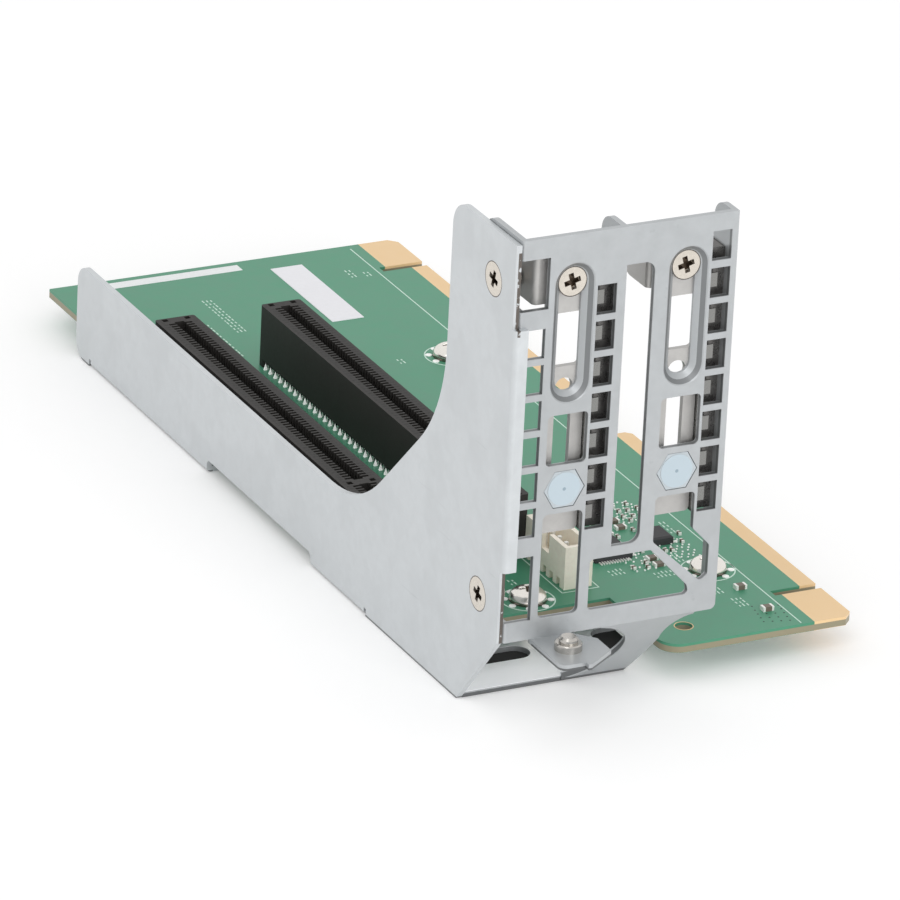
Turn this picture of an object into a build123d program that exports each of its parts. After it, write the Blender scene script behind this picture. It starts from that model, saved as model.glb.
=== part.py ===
from build123d import *
import os

os.makedirs("parts", exist_ok=True)

# Driving dimensions, in millimetres.
# X counts from the outer face of the side wall to the right, Y from the front face
# of the front plate to the back, and Z up from the plane the card rests on.

# Sheet steel
sheet = 1.0
bend_outer = 0.9
sheet_gap = 0.1
plate_fold = 0.6

# Circuit board
wall_to_board = 0.5
board_width = 68.3
board_near = 6.6
board_length = 173.0
board_thickness = 1.6
standoff_height = 3.6
setback_width = 33.5
setback_depth = 20.5
setback_corner = 3.5
board_chamfer = 1.5
guide_hole_x = 41.3
guide_hole_y = 12.8
guide_hole_radius = 1.5

# Edge fingers along the right side of the board
key_slit_width = 1.9
key_slit_depth = 8.6
near_slit_y = 19.0
far_slit_y = 167.4
finger_gap_near = 87.0
finger_gap_far = 99.3
finger_gap_depth = 3.3
finger_corner = 1.0

# Card slots
slot_pitch = 20.32
slot_length = 89.0
slot_width = 7.5
slot_height = 11.25
slot_foot = 1.4
slot_near = 47.0
slot_side_gap = 0.75
slot_end_wall = 1.95
slot_gap_width = 1.75
slot_gap_depth = 8.4
slot_long_gap = 71.65
slot_key = 1.9
slot_corner = 0.5
slot_well = 1.0
slot_well_offset = 2.1
slot_well_inset = 0.8
slot_well_depth = 1.5
contact_pitch = 1.0
contacts_short = 11
contacts_long = 71
pocket_reach = 1.3
pocket_length = 0.6
contact_clearance = 0.1
contact_thickness = 0.35
contact_below_top = 0.9
tail_inset = 0.5
tail_thickness = 0.4

# Side wall with its brace
wall_height = 84.3
wall_far = 164.4
rail_height = 17.5
upright_depth = 22.2
brace_sum = 69.2
brace_upper_radius = 28.0
brace_lower_radius = 28.0
wall_top_radius = 4.5
wall_far_radius = 3.5
wall_cut_depth = 13.1
wall_cut_height = 15.4
notch_near = 68.1
notch_far = 109.4
notch_height = 2.4
notch_radius = 1.0
lip_reach = 2.4
lip_bottom = 28.0
lip_top = 70.0

# Floor flanges of the side bracket
relief_width = 0.7
relief_height = 1.3
near_flange_near = 47.5
near_flange_reach = 14.0
far_flange_reach = 14.0
far_flange_far = 158.0
far_arm_reach = 60.5
far_arm_near = 118.6
far_arm_far = 138.6
floor_corner = 3.0

# Floor panel of the front plate
panel_near = 12.9
panel_far = 44.5
panel_narrow = 30.6
panel_step_y = 27.1
panel_reach = 62.5
panel_corner = 3.0
floor_slot_x = 12.5
floor_slot_y = 23.5
floor_slot_length = 12.0
floor_slot_width = 5.0

# Front plate
plate_right = 39.7
plate_top = 84.9
plate_bottom = 15.2
plate_corner = 1.0
flange_depth = 13.0
flange_corner = 3.0
column_x = 10.8
leg_left = 19.0
leg_right = 36.0
leg_lift = 1.0
leg_slope_depth = 0.45
foot_opening_centre = 16.5
foot_opening_radius = 9.9
leg_waist = [(33.3, 2.0), (32.7, 5.5), (31.9, 9.3)]

# Openings of the front plate
window_pitch = 6.22
window_height = 5.1
guide_window_left = 2.5
guide_window_right = 5.9
guide_window_top = 69.4
guide_windows = 6
top_window_right = 6.2
top_window_bottom = 72.7
top_window_height = 8.8
low_window_right = 5.9
low_window_bottom = 18.6
low_window_height = 11.3
corner_window_depth = 3.0
spring_window_width = 3.45
spring_window_left = 14.85
spring_window_top = 75.5
spring_windows = 7
upper_spring_window_bottom = 76.8
square_window_width = 7.2
square_window_bottom = 45.2
square_window_height = 8.8
square_window_radius = 0.8
tall_window_bottom = 18.6
tall_window_top = 36.8
tall_window_radius = 1.0
card_gap_left = 19.9
card_gap_right = 25.0
card_gap_bottom = 29.3
card_gap_top = 78.3
card_gap_radius = 1.8
strut_radius = 0.8
strut_near_corner = (34.6, 18.6)
strut_window_left = 16.2
strut_window_right = 27.2
strut_window_top = 27.6
strut_window_tip = (34.2, 20.3)
brace_window_top = 30.2
brace_window_shoulder = 26.9
brace_window_right = 37.9
brace_window_bottom = 21.6
brace_window_foot = 26.9
brace_window_lip = (36.6, 20.6)

# Flared slots of the front plate
flare_width = 7.2
flare_bottom = 55.8
flare_top = 80.0
flare_slot_width = 4.0
boss_depth = 1.1
boss_taper = 30

# Flanges beside the card openings, bent back from the front plate
ear_depth_1 = 7.4
ear_depth_2 = 6.4
ear_bottom = 31.5
ear_foot_depth = 3.5
ear_foot_bottom = 18.0
ear_corner = 3.0

# Spring strips clipped round those flanges
spring_sheet = 0.3
spring_left = 14.6
spring_start = 1.2
spring_back = 2.2
spring_bottom = 32.6
spring_top = 78.0
spring_finger_width = 2.1
spring_finger_height = 2.4
spring_finger_lift = 0.5
spring_nub = 0.3
spring_nub_depth = 0.8

# Forward tab and its stud
tab_left = 6.2
tab_right = 16.5
tab_reach = 12.0
tab_shoulder = 11.0
tab_step_x = 10.6
tab_point_x = 11.2
tab_side = 8.3
tab_back = 3.5
tab_neck = 13.3
tab_round = 1.4
stud_x = 10.2
stud_y = -5.4
stud_collar_radius = 2.3
stud_collar_height = 1.3
stud_radius = 1.6
stud_height = 1.0
stud_shank_radius = 1.2
stud_rivet = 0.4

# Sliding retainers
retainer_width = 7.4
retainer_bottom = 32.6
retainer_top = 82.0
retainer_radius = 0.8
retainer_hole_radius = 1.6
retainer_hole_z = 57.8
retainer_opening_bottom = 61.4
retainer_opening_top = 70.7
retainer_opening_width = 5.4
retainer_slot_width = 3.0
retainer_slot_bottom = 37.6
retainer_slot_top = 55.0
hook_left = 6.3
hook_bottom = 72.7
hook_top = 81.2
hook_depth = 8.6
hook_corner = 3.0

# Hexagon guides, flat-head screws
hex_across = 6.2
hex_z = 40.9
hex_clearance = 0.1
hex_face_radius = 2.9
hex_face_groove = 0.08
hex_neck_clearance = 0.1
hex_rear_radius = 2.6
hex_rear_height = 0.9
retainer_screw_radius = 2.6
retainer_screw_length = 2.4
shank_radius = 1.5
shank_clearance = 0.1
recess_span = 2.9
recess_width = 0.9
recess_depth = 1.0
recess_turn = 15
side_screw_y = 7.35
side_screw_low = 21.1
side_screw_high = 75.9
side_screw_radius = 2.95
side_screw_head = 0.9
side_screw_length = 4.2

# Board screws and posts: the first two on the floor panel, the third on the far arm
board_screw_places = [(21.9, 31.2), (55.5, 31.2), (55.4, 127.7)]
board_screw_radius = 3.2
board_screw_height = 2.2
board_screw_rim = 0.7
board_screw_grip = 4.4
post_radius = 2.75

# Power header
header_x = 29.1
header_y = 32.3
header_width = 5.2
header_length = 14.4
header_height = 7.6
header_wall = 0.8
header_floor = 1.6
header_notch = 1.3
header_notch_depth = 3.4
header_vent_height = 1.5
header_pins_count = 5
header_pin_pitch = 2.5
header_pin = 0.64
header_pin_top = 6.4

# Square chip
chip_x = 42.4
chip_y = 43.4
chip_size = 7.0
chip_height = 1.2
chip_pins = 12
chip_pin_pitch = 0.5
chip_pin_width = 0.25
chip_pin_length = 1.0
chip_pin_thickness = 0.2
chip_edge = 0.15

# Small chip
driver_x = 53.0
driver_y = 45.0
driver_width = 3.9
driver_length = 4.9
driver_height = 1.5
driver_pins = 4
driver_pin_pitch = 1.27
driver_pin_width = 0.45
driver_pin_length = 1.05

# Small parts: each row starts at a place and steps along Y
part_rows = [(46.0, 49.4, 3), (49.4, 51.2, 4), (48.6, 35.6, 2)]
part_step = 2.6
part_length = 2.0
part_width = 1.25
part_height = 0.6
part_end = 0.35
large_part_places = [(57.2, 13.5), (57.0, 22.6)]
large_part_length = 2.0
large_part_width = 1.25
large_part_height = 0.8
large_part_end = 0.4

# Blank label
label_left = 42.4
label_right = 48.6
label_near = 148.5
label_far = 174.3
label_thickness = 0.1

# Places worked out from the sizes above
total_width = sheet + wall_to_board + board_width
total_depth = tab_reach + board_near + board_length
origin_x = -total_width / 2
origin_y = tab_reach - total_depth / 2
board_left = sheet + wall_to_board
board_right = board_left + board_width
board_far = board_near + board_length
board_under = sheet + standoff_height
board_top = board_under + board_thickness
slot_under = board_top + slot_foot
slot_top = board_top + slot_height
slot_far = slot_near + slot_length
slot_columns = [board_left - wall_to_board + slot_side_gap + slot_width / 2 + n * slot_pitch
                for n in range(2)]
gap_far = slot_far - slot_end_wall
key_far = gap_far - slot_long_gap
key_near = key_far - slot_key
gap_near = slot_near + slot_end_wall
pocket_inner = slot_gap_width / 2
plate_columns = [column_x, column_x + slot_pitch]
boss_back = sheet + boss_depth
retainer_screw_z = flare_top - flare_width / 2
flare_depth = (flare_width - flare_slot_width) / 2
retainer_back = boss_back + sheet
plate_left = sheet + sheet_gap
ears = [(card_gap_left, ear_depth_1, ear_bottom), (plate_right, ear_depth_2, ear_foot_bottom)]


def top_plane(z):
    """A level plane: X to the right, Y to the back."""
    return Plane(origin=(origin_x, origin_y, z))


def front_plane(y):
    """An upright plane seen from the front: X to the right, Z up, facing forwards."""
    return Plane(origin=(origin_x, origin_y + y, 0), x_dir=(1, 0, 0), z_dir=(0, -1, 0))


def side_plane(x):
    """An upright plane along the side wall: Y to the right, Z up."""
    return Plane(origin=(origin_x + x, origin_y, 0), x_dir=(0, 1, 0), z_dir=(1, 0, 0))


def panel(a0, a1, b0, b1, radius=0.0, mode=Mode.ADD):
    """A rectangle of the open sketch, between two corners."""
    with Locations(((a0 + a1) / 2, (b0 + b1) / 2)):
        if radius > 0:
            RectangleRounded(a1 - a0, b1 - b0, radius, mode=mode)
        else:
            Rectangle(a1 - a0, b1 - b0, mode=mode)


def block(x0, x1, y0, y1, z0, z1, mode=Mode.ADD):
    """A plain block of the open part, between two corners."""
    with Locations((origin_x + (x0 + x1) / 2, origin_y + (y0 + y1) / 2, (z0 + z1) / 2)):
        Box(x1 - x0, y1 - y0, z1 - z0, mode=mode)


def corners(sketch, places):
    """The corners of a sketch nearest to the given places."""
    return [sketch.vertices().sort_by_distance((a, b, 0))[0] for a, b in places]


def upright_edges(part, x, y):
    """The upright edges of a part standing at one place."""
    return [e for e in part.edges().filter_by(Axis.Z)
            if abs(e.center().X - origin_x - x) < 0.05 and abs(e.center().Y - origin_y - y) < 0.05]


def save(part, name):
    """Labels a finished piece and writes it."""
    part.label = name
    export_step(part, f"parts/{name}.step")


def make_board():
    """The board: stepped near edge, key slits and the gap between the finger groups."""
    with BuildPart() as circuit_board:
        with BuildSketch(top_plane(board_under)) as outline:
            panel(board_left, board_right, board_near, board_far)
            setback_right = board_left + setback_width
            setback_far = board_near + setback_depth
            panel(board_left, setback_right, board_near, setback_far, mode=Mode.SUBTRACT)
            for y in (near_slit_y, far_slit_y):
                panel(board_right - key_slit_depth, board_right,
                      y - key_slit_width / 2, y + key_slit_width / 2, mode=Mode.SUBTRACT)
            panel(board_right - finger_gap_depth, board_right,
                  finger_gap_near, finger_gap_far, mode=Mode.SUBTRACT)
            fillet(corners(outline, [(setback_right, board_near)]), setback_corner)
            chamfer(corners(outline, [(board_right, board_near), (board_right, board_far)]),
                    board_chamfer)
            chamfer(corners(outline, [(board_right, finger_gap_near),
                                      (board_right, finger_gap_far)]), finger_corner)
            with Locations((guide_hole_x, guide_hole_y)):
                Circle(guide_hole_radius, mode=Mode.SUBTRACT)
            with Locations(*board_screw_places):
                Circle(shank_radius + shank_clearance, mode=Mode.SUBTRACT)
        extrude(amount=board_thickness)
    save(circuit_board.part, "circuit_board")


def contact_rows():
    """The places of the contacts along a slot: the long group, then the short group."""
    first_long = gap_far - contact_pitch / 2 - 0.325
    first_short = key_near - contact_pitch / 2
    rows = [first_long - n * contact_pitch for n in range(contacts_long)]
    rows += [first_short - n * contact_pitch for n in range(contacts_short)]
    return rows


def make_housing(centre, name):
    """One slot body: two card gaps with a key between, contact pockets on both sides."""
    half = slot_width / 2
    with BuildPart() as housing:
        with BuildSketch(top_plane(slot_under)):
            panel(centre - half, centre + half, slot_near, slot_far, radius=slot_corner)
        extrude(amount=slot_top - slot_under)
        with BuildSketch(top_plane(board_top)):
            for y in (slot_near, key_near, slot_far - slot_key):
                panel(centre - half, centre + half, y, y + slot_key, radius=slot_corner)
        extrude(amount=slot_foot)
        with BuildSketch(top_plane(slot_top)):
            panel(centre - pocket_inner, centre + pocket_inner, key_far, gap_far)
            panel(centre - pocket_inner, centre + pocket_inner, gap_near, key_near)
        extrude(amount=-slot_gap_depth, mode=Mode.SUBTRACT)
        with BuildSketch(top_plane(slot_top)):
            for y in (slot_near + slot_well_inset, key_near + slot_key / 2,
                      slot_far - slot_well_inset):
                with Locations((centre - slot_well_offset, y), (centre + slot_well_offset, y)):
                    Rectangle(slot_well, slot_well)
        extrude(amount=-slot_well_depth, mode=Mode.SUBTRACT)
        with BuildSketch(top_plane(slot_top)):
            for y in contact_rows():
                for side in (-1, 1):
                    middle = centre + side * (pocket_inner + pocket_reach / 2)
                    panel(middle - pocket_reach / 2, middle + pocket_reach / 2,
                          y - pocket_length / 2, y + pocket_length / 2)
        extrude(amount=slot_under - slot_top, mode=Mode.SUBTRACT)
    save(housing.part, name)


def contact_places(centre, side, outer):
    """One contact seen along the slot: a blade, its tail straight down or stepped out."""
    back = pocket_inner + pocket_reach
    front = back - contact_thickness
    top = slot_top - contact_below_top
    step = board_top + 2 * tail_thickness
    reach = slot_width / 2 - tail_inset
    if outer:
        places = [(back, top), (front, top), (front, step - tail_thickness),
                  (reach - tail_thickness, step - tail_thickness),
                  (reach - tail_thickness, board_top), (reach, board_top), (reach, step),
                  (back, step)]
    else:
        places = [(back, top), (front, top), (front, board_top), (back, board_top)]
    return [(centre + side * x, z) for x, z in places]


def make_contacts(centre, name):
    """All contacts of one slot; every second one steps out to the outer row of tails."""
    rows = contact_rows()
    width = pocket_length - 2 * contact_clearance
    with BuildPart() as contacts:
        for side in (-1, 1):
            for start in (0, 1):
                planes = [front_plane(y + width / 2) for y in rows[start::2]]
                with BuildSketch(*planes):
                    with BuildLine():
                        Polyline(contact_places(centre, side, start == 0), close=True)
                    make_face()
                extrude(amount=width)
    save(contacts.part, name)


def make_side_bracket():
    """The side wall with its brace, the lip round the front corner and the floor flanges."""
    with BuildPart() as side_bracket:
        with BuildSketch(side_plane(0)) as wall:
            with BuildLine():
                Polyline((wall_cut_depth, 0), (0, wall_cut_height), (0, wall_height),
                         (upright_depth, wall_height),
                         (upright_depth, brace_sum - upright_depth),
                         (brace_sum - rail_height, rail_height),
                         (wall_far, rail_height), (wall_far, 0), (notch_far, 0),
                         (notch_far, notch_height), (notch_near, notch_height),
                         (notch_near, 0), close=True)
            make_face()
            fillet(corners(wall, [(upright_depth, wall_height)]), wall_top_radius)
            fillet(corners(wall, [(upright_depth, brace_sum - upright_depth)]),
                   brace_upper_radius)
            fillet(corners(wall, [(brace_sum - rail_height, rail_height)]), brace_lower_radius)
            fillet(corners(wall, [(wall_far, rail_height), (wall_far, 0)]), wall_far_radius)
            fillet(corners(wall, [(notch_near, notch_height), (notch_far, notch_height)]),
                   notch_radius)
            for z in (side_screw_low, side_screw_high):
                with Locations((side_screw_y, z)):
                    Circle(side_screw_radius - side_screw_head, mode=Mode.SUBTRACT)
            for y in (near_flange_near - relief_width, far_flange_far):
                panel(y, y + relief_width, 0, relief_height, mode=Mode.SUBTRACT)
        extrude(amount=sheet)
        with BuildSketch(top_plane(0)) as flanges:
            panel(0, near_flange_reach, near_flange_near, notch_near)
            panel(0, far_flange_reach, notch_far, far_flange_far)
            panel(0, far_arm_reach, far_arm_near, far_arm_far)
            fillet(corners(flanges, [(near_flange_reach, near_flange_near),
                                     (near_flange_reach, notch_near),
                                     (far_flange_reach, notch_far),
                                     (far_arm_reach, far_arm_near),
                                     (far_arm_reach, far_arm_far)]), floor_corner)
            fillet(corners(flanges, [(far_flange_reach, far_flange_far),
                                     (far_flange_reach, far_arm_near),
                                     (far_flange_reach, far_arm_far)]), floor_corner)
        extrude(amount=sheet)
        block(0, lip_reach, -sheet, 0, lip_bottom, lip_top)
        fillet(upright_edges(side_bracket, 0, -sheet), bend_outer)
        low_edges = [e for e in side_bracket.edges().filter_by(Axis.Y)
                     if abs(e.center().X - origin_x) < 0.01 and e.center().Z < 0.01
                     and near_flange_near < e.center().Y - origin_y < far_flange_far]
        fillet(low_edges, bend_outer)
        cone_top = side_screw_radius
        for z in (side_screw_low, side_screw_high):
            with BuildSketch(side_plane(0)):
                with Locations((side_screw_y, z)):
                    Circle(cone_top)
            extrude(amount=side_screw_head, taper=45, mode=Mode.SUBTRACT)
    save(side_bracket.part, "side_bracket")


def column_windows(n):
    """The punched windows of one column of the front plate."""
    column = plate_columns[n]
    shift = n * slot_pitch
    left = column - square_window_width / 2
    right = column + square_window_width / 2
    panel(left, right, square_window_bottom, square_window_bottom + square_window_height,
          radius=square_window_radius)
    for k in range(spring_windows):
        top = spring_window_top - k * window_pitch
        panel(spring_window_left + shift, spring_window_left + shift + spring_window_width,
              top - window_height, top)


def flare_outline(column, y, inset):
    """The rounded outline of a flared slot on an upright plane, drawn in by an inset."""
    with BuildSketch(front_plane(y)) as outline:
        with Locations((column, (flare_bottom + flare_top) / 2)):
            SlotOverall(flare_top - flare_bottom - 2 * inset, flare_width - 2 * inset,
                        rotation=90)
    return outline.sketch


def make_front_plate():
    """The punched front plate with its side flange, ears, leg, floor panel and tab."""
    with BuildPart() as front_plate:
        # The leg, sloping back from the plate to the floor, cut to its curved sides
        with BuildSketch(side_plane(leg_left)):
            with BuildLine():
                Polyline((0, plate_bottom), (0, plate_bottom + leg_lift),
                         (sheet, plate_bottom + leg_lift),
                         (sheet, plate_bottom + leg_slope_depth),
                         (panel_near + leg_slope_depth, sheet), (panel_near + 1.5 * sheet, sheet),
                         (panel_near + 1.5 * sheet, 0), (panel_near, 0), close=True)
            make_face()
        extrude(amount=leg_right - leg_left)
        with BuildSketch(top_plane(0)):
            with Locations((foot_opening_centre, panel_near / 2)):
                Ellipse(foot_opening_radius, panel_near / 2)
            with BuildLine():
                upper = ThreePointArc((leg_right, leg_slope_depth), leg_waist[0], leg_waist[1])
                lower = ThreePointArc(leg_waist[1], leg_waist[2], (panel_narrow, panel_near))
                Polyline(lower @ 1, (panel_narrow, panel_near + 2 * sheet),
                         (leg_right + sheet, panel_near + 2 * sheet),
                         (leg_right + sheet, leg_slope_depth), upper @ 0)
            make_face()
        extrude(amount=plate_bottom, mode=Mode.SUBTRACT)
        # The flat plate
        with BuildSketch(front_plane(0)) as face:
            panel(plate_left, plate_right, plate_bottom, plate_top)
            fillet(corners(face, [(plate_right, plate_bottom)]), plate_corner)
        extrude(amount=-sheet)
        # The side flange behind the wall
        with BuildSketch(side_plane(plate_left)) as flange:
            panel(0, flange_depth, wall_cut_height + 2, plate_top)
            fillet(corners(flange, [(flange_depth, plate_top),
                                    (flange_depth, wall_cut_height + 2)]), flange_corner)
        extrude(amount=sheet)
        fillet(upright_edges(front_plate, plate_left, 0), plate_fold)
        # The ears beside the card openings
        for right, depth, foot in ears:
            with BuildSketch(side_plane(right - sheet)) as ear:
                panel(0, depth, ear_bottom, plate_top)
                fillet(corners(ear, [(depth, plate_top), (depth, ear_bottom)]), ear_corner)
                panel(0, ear_foot_depth, foot, ear_bottom + ear_corner)
            extrude(amount=sheet)
        # The floor panel
        with BuildSketch(top_plane(0)) as floor:
            panel(plate_left, panel_narrow, panel_near, panel_far)
            panel(plate_left, panel_reach, panel_step_y, panel_far)
            fillet(corners(floor, [(panel_reach, panel_step_y), (panel_reach, panel_far),
                                   (panel_narrow, panel_step_y)]), panel_corner)
            with Locations((floor_slot_x, floor_slot_y)):
                SlotOverall(floor_slot_length, floor_slot_width, mode=Mode.SUBTRACT)
        extrude(amount=sheet)
        # The forward tab
        with BuildSketch(top_plane(plate_bottom - sheet)) as tab:
            with BuildLine():
                Polyline((tab_left, sheet), (tab_left, -tab_shoulder),
                         (tab_step_x, -tab_shoulder), (tab_step_x, -tab_reach),
                         (tab_point_x, -tab_reach), (tab_right, -tab_side),
                         (tab_right, -tab_back), (tab_neck, 0), (tab_neck, sheet),
                         close=True)
            make_face()
            fillet(corners(tab, [(tab_left, -tab_shoulder)]), tab_round)
            with Locations((stud_x, stud_y)):
                Circle(stud_shank_radius, mode=Mode.SUBTRACT)
        extrude(amount=sheet)
        # The bosses of the flared slots
        for column in plate_columns:
            extrude(flare_outline(column, sheet, 0), amount=-boss_depth, taper=boss_taper)
        # Windows through the flat plate
        with BuildSketch(front_plane(0)):
            for n in (0, 1):
                column_windows(n)
            for k in range(guide_windows):
                top = guide_window_top - k * window_pitch
                panel(guide_window_left, guide_window_right, top - window_height, top)
            panel(spring_window_left + slot_pitch,
                  spring_window_left + slot_pitch + spring_window_width,
                  upper_spring_window_bottom, upper_spring_window_bottom + window_height)
            panel(column_x - square_window_width / 2, column_x + square_window_width / 2,
                  tall_window_bottom, tall_window_top, radius=tall_window_radius)
        extrude(amount=-sheet, mode=Mode.SUBTRACT)
        # The card opening
        with BuildSketch(front_plane(0)) as card_gap:
            panel(card_gap_left, card_gap_right, card_gap_bottom, card_gap_top)
            fillet(corners(card_gap, [(card_gap_right, card_gap_bottom),
                                      (card_gap_right, card_gap_top)]), card_gap_radius)
        extrude(amount=-sheet, mode=Mode.SUBTRACT)
        # The two windows either side of the slanting strut
        with BuildSketch(front_plane(0)) as strut:
            with BuildLine():
                Polyline((strut_window_left, strut_near_corner[1]), strut_near_corner,
                         strut_window_tip, (strut_window_right, strut_window_top),
                         (strut_window_left, strut_window_top), close=True)
            make_face()
            fillet(strut.vertices(), strut_radius)
        extrude(amount=-sheet, mode=Mode.SUBTRACT)
        upper_left = plate_columns[1] - square_window_width / 2
        upper_right = plate_columns[1] + square_window_width / 2
        with BuildSketch(front_plane(0)) as brace:
            with BuildLine():
                Polyline((upper_left, tall_window_top), (upper_right, tall_window_top),
                         (upper_right, brace_window_top),
                         (brace_window_right, brace_window_shoulder),
                         (brace_window_right, brace_window_bottom), brace_window_lip,
                         (upper_left, brace_window_foot + 2.0), close=True)
            make_face()
            fillet(brace.vertices(), strut_radius)
        extrude(amount=-sheet, mode=Mode.SUBTRACT)
        # The two corner windows that cut through the fold of the side flange
        block(plate_left - 1, top_window_right, -1, corner_window_depth, top_window_bottom,
              top_window_bottom + top_window_height, mode=Mode.SUBTRACT)
        block(plate_left - 1, low_window_right, -1, corner_window_depth, low_window_bottom,
              low_window_bottom + low_window_height, mode=Mode.SUBTRACT)
        # The flared slots, the hexagon holes and the threaded holes of the side screws
        for column in plate_columns:
            extrude(flare_outline(column, 0, 0), amount=-flare_depth, taper=45,
                    mode=Mode.SUBTRACT)
            extrude(flare_outline(column, 0, flare_depth), amount=-boss_back,
                    mode=Mode.SUBTRACT)
            with BuildSketch(front_plane(0)):
                with Locations((column, hex_z)):
                    RegularPolygon(hex_across / 2 + hex_clearance, 6, major_radius=False)
            extrude(amount=-sheet, mode=Mode.SUBTRACT)
        with BuildSketch(side_plane(plate_left)):
            with Locations((side_screw_y, side_screw_low), (side_screw_y, side_screw_high)):
                Circle(shank_radius)
        extrude(amount=sheet, mode=Mode.SUBTRACT)
    save(front_plate.part, "front_plate")


def make_guide_stud():
    """The stud riveted into the forward tab: collar, head and rivet."""
    with BuildPart() as guide_stud:
        with BuildSketch(top_plane(plate_bottom)):
            with Locations((stud_x, stud_y)):
                Circle(stud_collar_radius)
        extrude(amount=stud_collar_height)
        chamfer(guide_stud.edges().group_by(Axis.Z)[-1], 0.2)
        with BuildSketch(top_plane(plate_bottom + stud_collar_height)):
            with Locations((stud_x, stud_y)):
                Circle(stud_radius)
        extrude(amount=stud_height)
        chamfer(guide_stud.edges().group_by(Axis.Z)[-1], 0.4)
        with BuildSketch(top_plane(plate_bottom - sheet - stud_rivet)):
            with Locations((stud_x, stud_y)):
                Circle(stud_shank_radius)
        extrude(amount=sheet + stud_rivet)
    save(guide_stud.part, "guide_stud")


def make_retainer(column, name):
    """A sliding strip: slotted below, windowed in the middle, hooked back at the top."""
    left = column - retainer_width / 2
    right = column + retainer_width / 2
    with BuildPart() as retainer:
        with BuildSketch(front_plane(boss_back)) as strip:
            panel(left, right, retainer_bottom, retainer_top)
            panel(column - hook_left, column, hook_bottom, hook_top)
            fillet(corners(strip, [(left, retainer_bottom), (right, retainer_bottom),
                                   (right, retainer_top)]), retainer_radius)
            with Locations((column, retainer_hole_z)):
                Circle(retainer_hole_radius, mode=Mode.SUBTRACT)
            with Locations((column, retainer_screw_z)):
                Circle(shank_radius, mode=Mode.SUBTRACT)
            panel(column - retainer_opening_width / 2, column + retainer_opening_width / 2,
                  retainer_opening_bottom, retainer_opening_top, radius=retainer_radius,
                  mode=Mode.SUBTRACT)
            with Locations((column, (retainer_slot_bottom + retainer_slot_top) / 2)):
                SlotOverall(retainer_slot_top - retainer_slot_bottom, retainer_slot_width,
                            rotation=90, mode=Mode.SUBTRACT)
        extrude(amount=-sheet)
        with BuildSketch(side_plane(column - hook_left)) as hook:
            panel(boss_back, boss_back + hook_depth, hook_bottom, hook_top)
            fillet(corners(hook, [(boss_back + hook_depth, hook_top),
                                  (boss_back + hook_depth, hook_bottom)]), hook_corner)
        extrude(amount=sheet)
        fillet(upright_edges(retainer, column - hook_left, boss_back), bend_outer)
    save(retainer.part, name)


def make_spring_strip(n, name):
    """A thin strip clipped round one ear: fingers behind the windows, nubs beside the card."""
    right, depth = ears[n][:2]
    ear_left = right - sheet
    left = spring_left + n * slot_pitch
    back = spring_back + spring_sheet
    with BuildPart() as spring_strip:
        with BuildSketch(top_plane(spring_bottom)):
            with BuildLine():
                Polyline((left, spring_start), (left + spring_sheet, spring_start),
                         (left + spring_sheet, spring_back), (ear_left, spring_back),
                         (ear_left, depth), (right, depth), (right, spring_start),
                         (right + spring_sheet, spring_start),
                         (right + spring_sheet, depth + spring_sheet),
                         (ear_left - spring_sheet, depth + spring_sheet),
                         (ear_left - spring_sheet, back), (left, back), close=True)
            make_face()
        extrude(amount=spring_top - spring_bottom)
        for k in range(spring_windows):
            middle = spring_window_top - k * window_pitch - window_height / 2
            bar = middle - window_pitch / 2
            half = spring_finger_height / 2
            block(left, left + spring_finger_width, spring_start, spring_start + spring_sheet,
                  middle - half, middle + half)
            block(right, right + spring_sheet + spring_nub, spring_start,
                  spring_start + spring_nub_depth, bar - spring_finger_lift,
                  bar + spring_finger_lift)
    save(spring_strip.part, name)


def make_hex_guide(column, name):
    """A hexagon guide: flush in the plate, its neck runs in the slot of the retainer."""
    neck = retainer_slot_width / 2 - hex_neck_clearance
    with BuildPart() as hex_guide:
        with BuildSketch(front_plane(0)):
            with Locations((column, hex_z)):
                RegularPolygon(hex_across / 2, 6, major_radius=False)
        extrude(amount=-boss_back)
        with BuildSketch(front_plane(0)):
            with Locations((column, hex_z)):
                Circle(hex_across / 2 + 1)
                Circle(hex_face_radius, mode=Mode.SUBTRACT)
        extrude(amount=-hex_face_groove, mode=Mode.SUBTRACT)
        with BuildSketch(front_plane(boss_back)):
            with Locations((column, hex_z)):
                Circle(neck)
        extrude(amount=-sheet)
        with BuildSketch(front_plane(retainer_back)):
            with Locations((column, hex_z)):
                Circle(hex_rear_radius)
        extrude(amount=-hex_rear_height)
    save(hex_guide.part, name)


def make_retainer_screw(column, name):
    """A flat-head screw in the flared slot, threaded into the retainer."""
    seat = (flare_width / 2) - retainer_screw_radius
    cone = flare_depth - seat
    with BuildPart() as screw:
        with BuildSketch(front_plane(seat)):
            with Locations((column, retainer_screw_z)):
                Circle(retainer_screw_radius)
        extrude(amount=-cone, taper=45)
        with BuildSketch(front_plane(seat + cone)):
            with Locations((column, retainer_screw_z)):
                Circle(shank_radius)
        extrude(amount=-retainer_screw_length)
        with BuildSketch(front_plane(seat)):
            with Locations((column, retainer_screw_z)):
                Rectangle(recess_span, recess_width, rotation=recess_turn)
                Rectangle(recess_width, recess_span, rotation=recess_turn)
        extrude(amount=-recess_depth, mode=Mode.SUBTRACT)
    save(screw.part, name)


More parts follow.
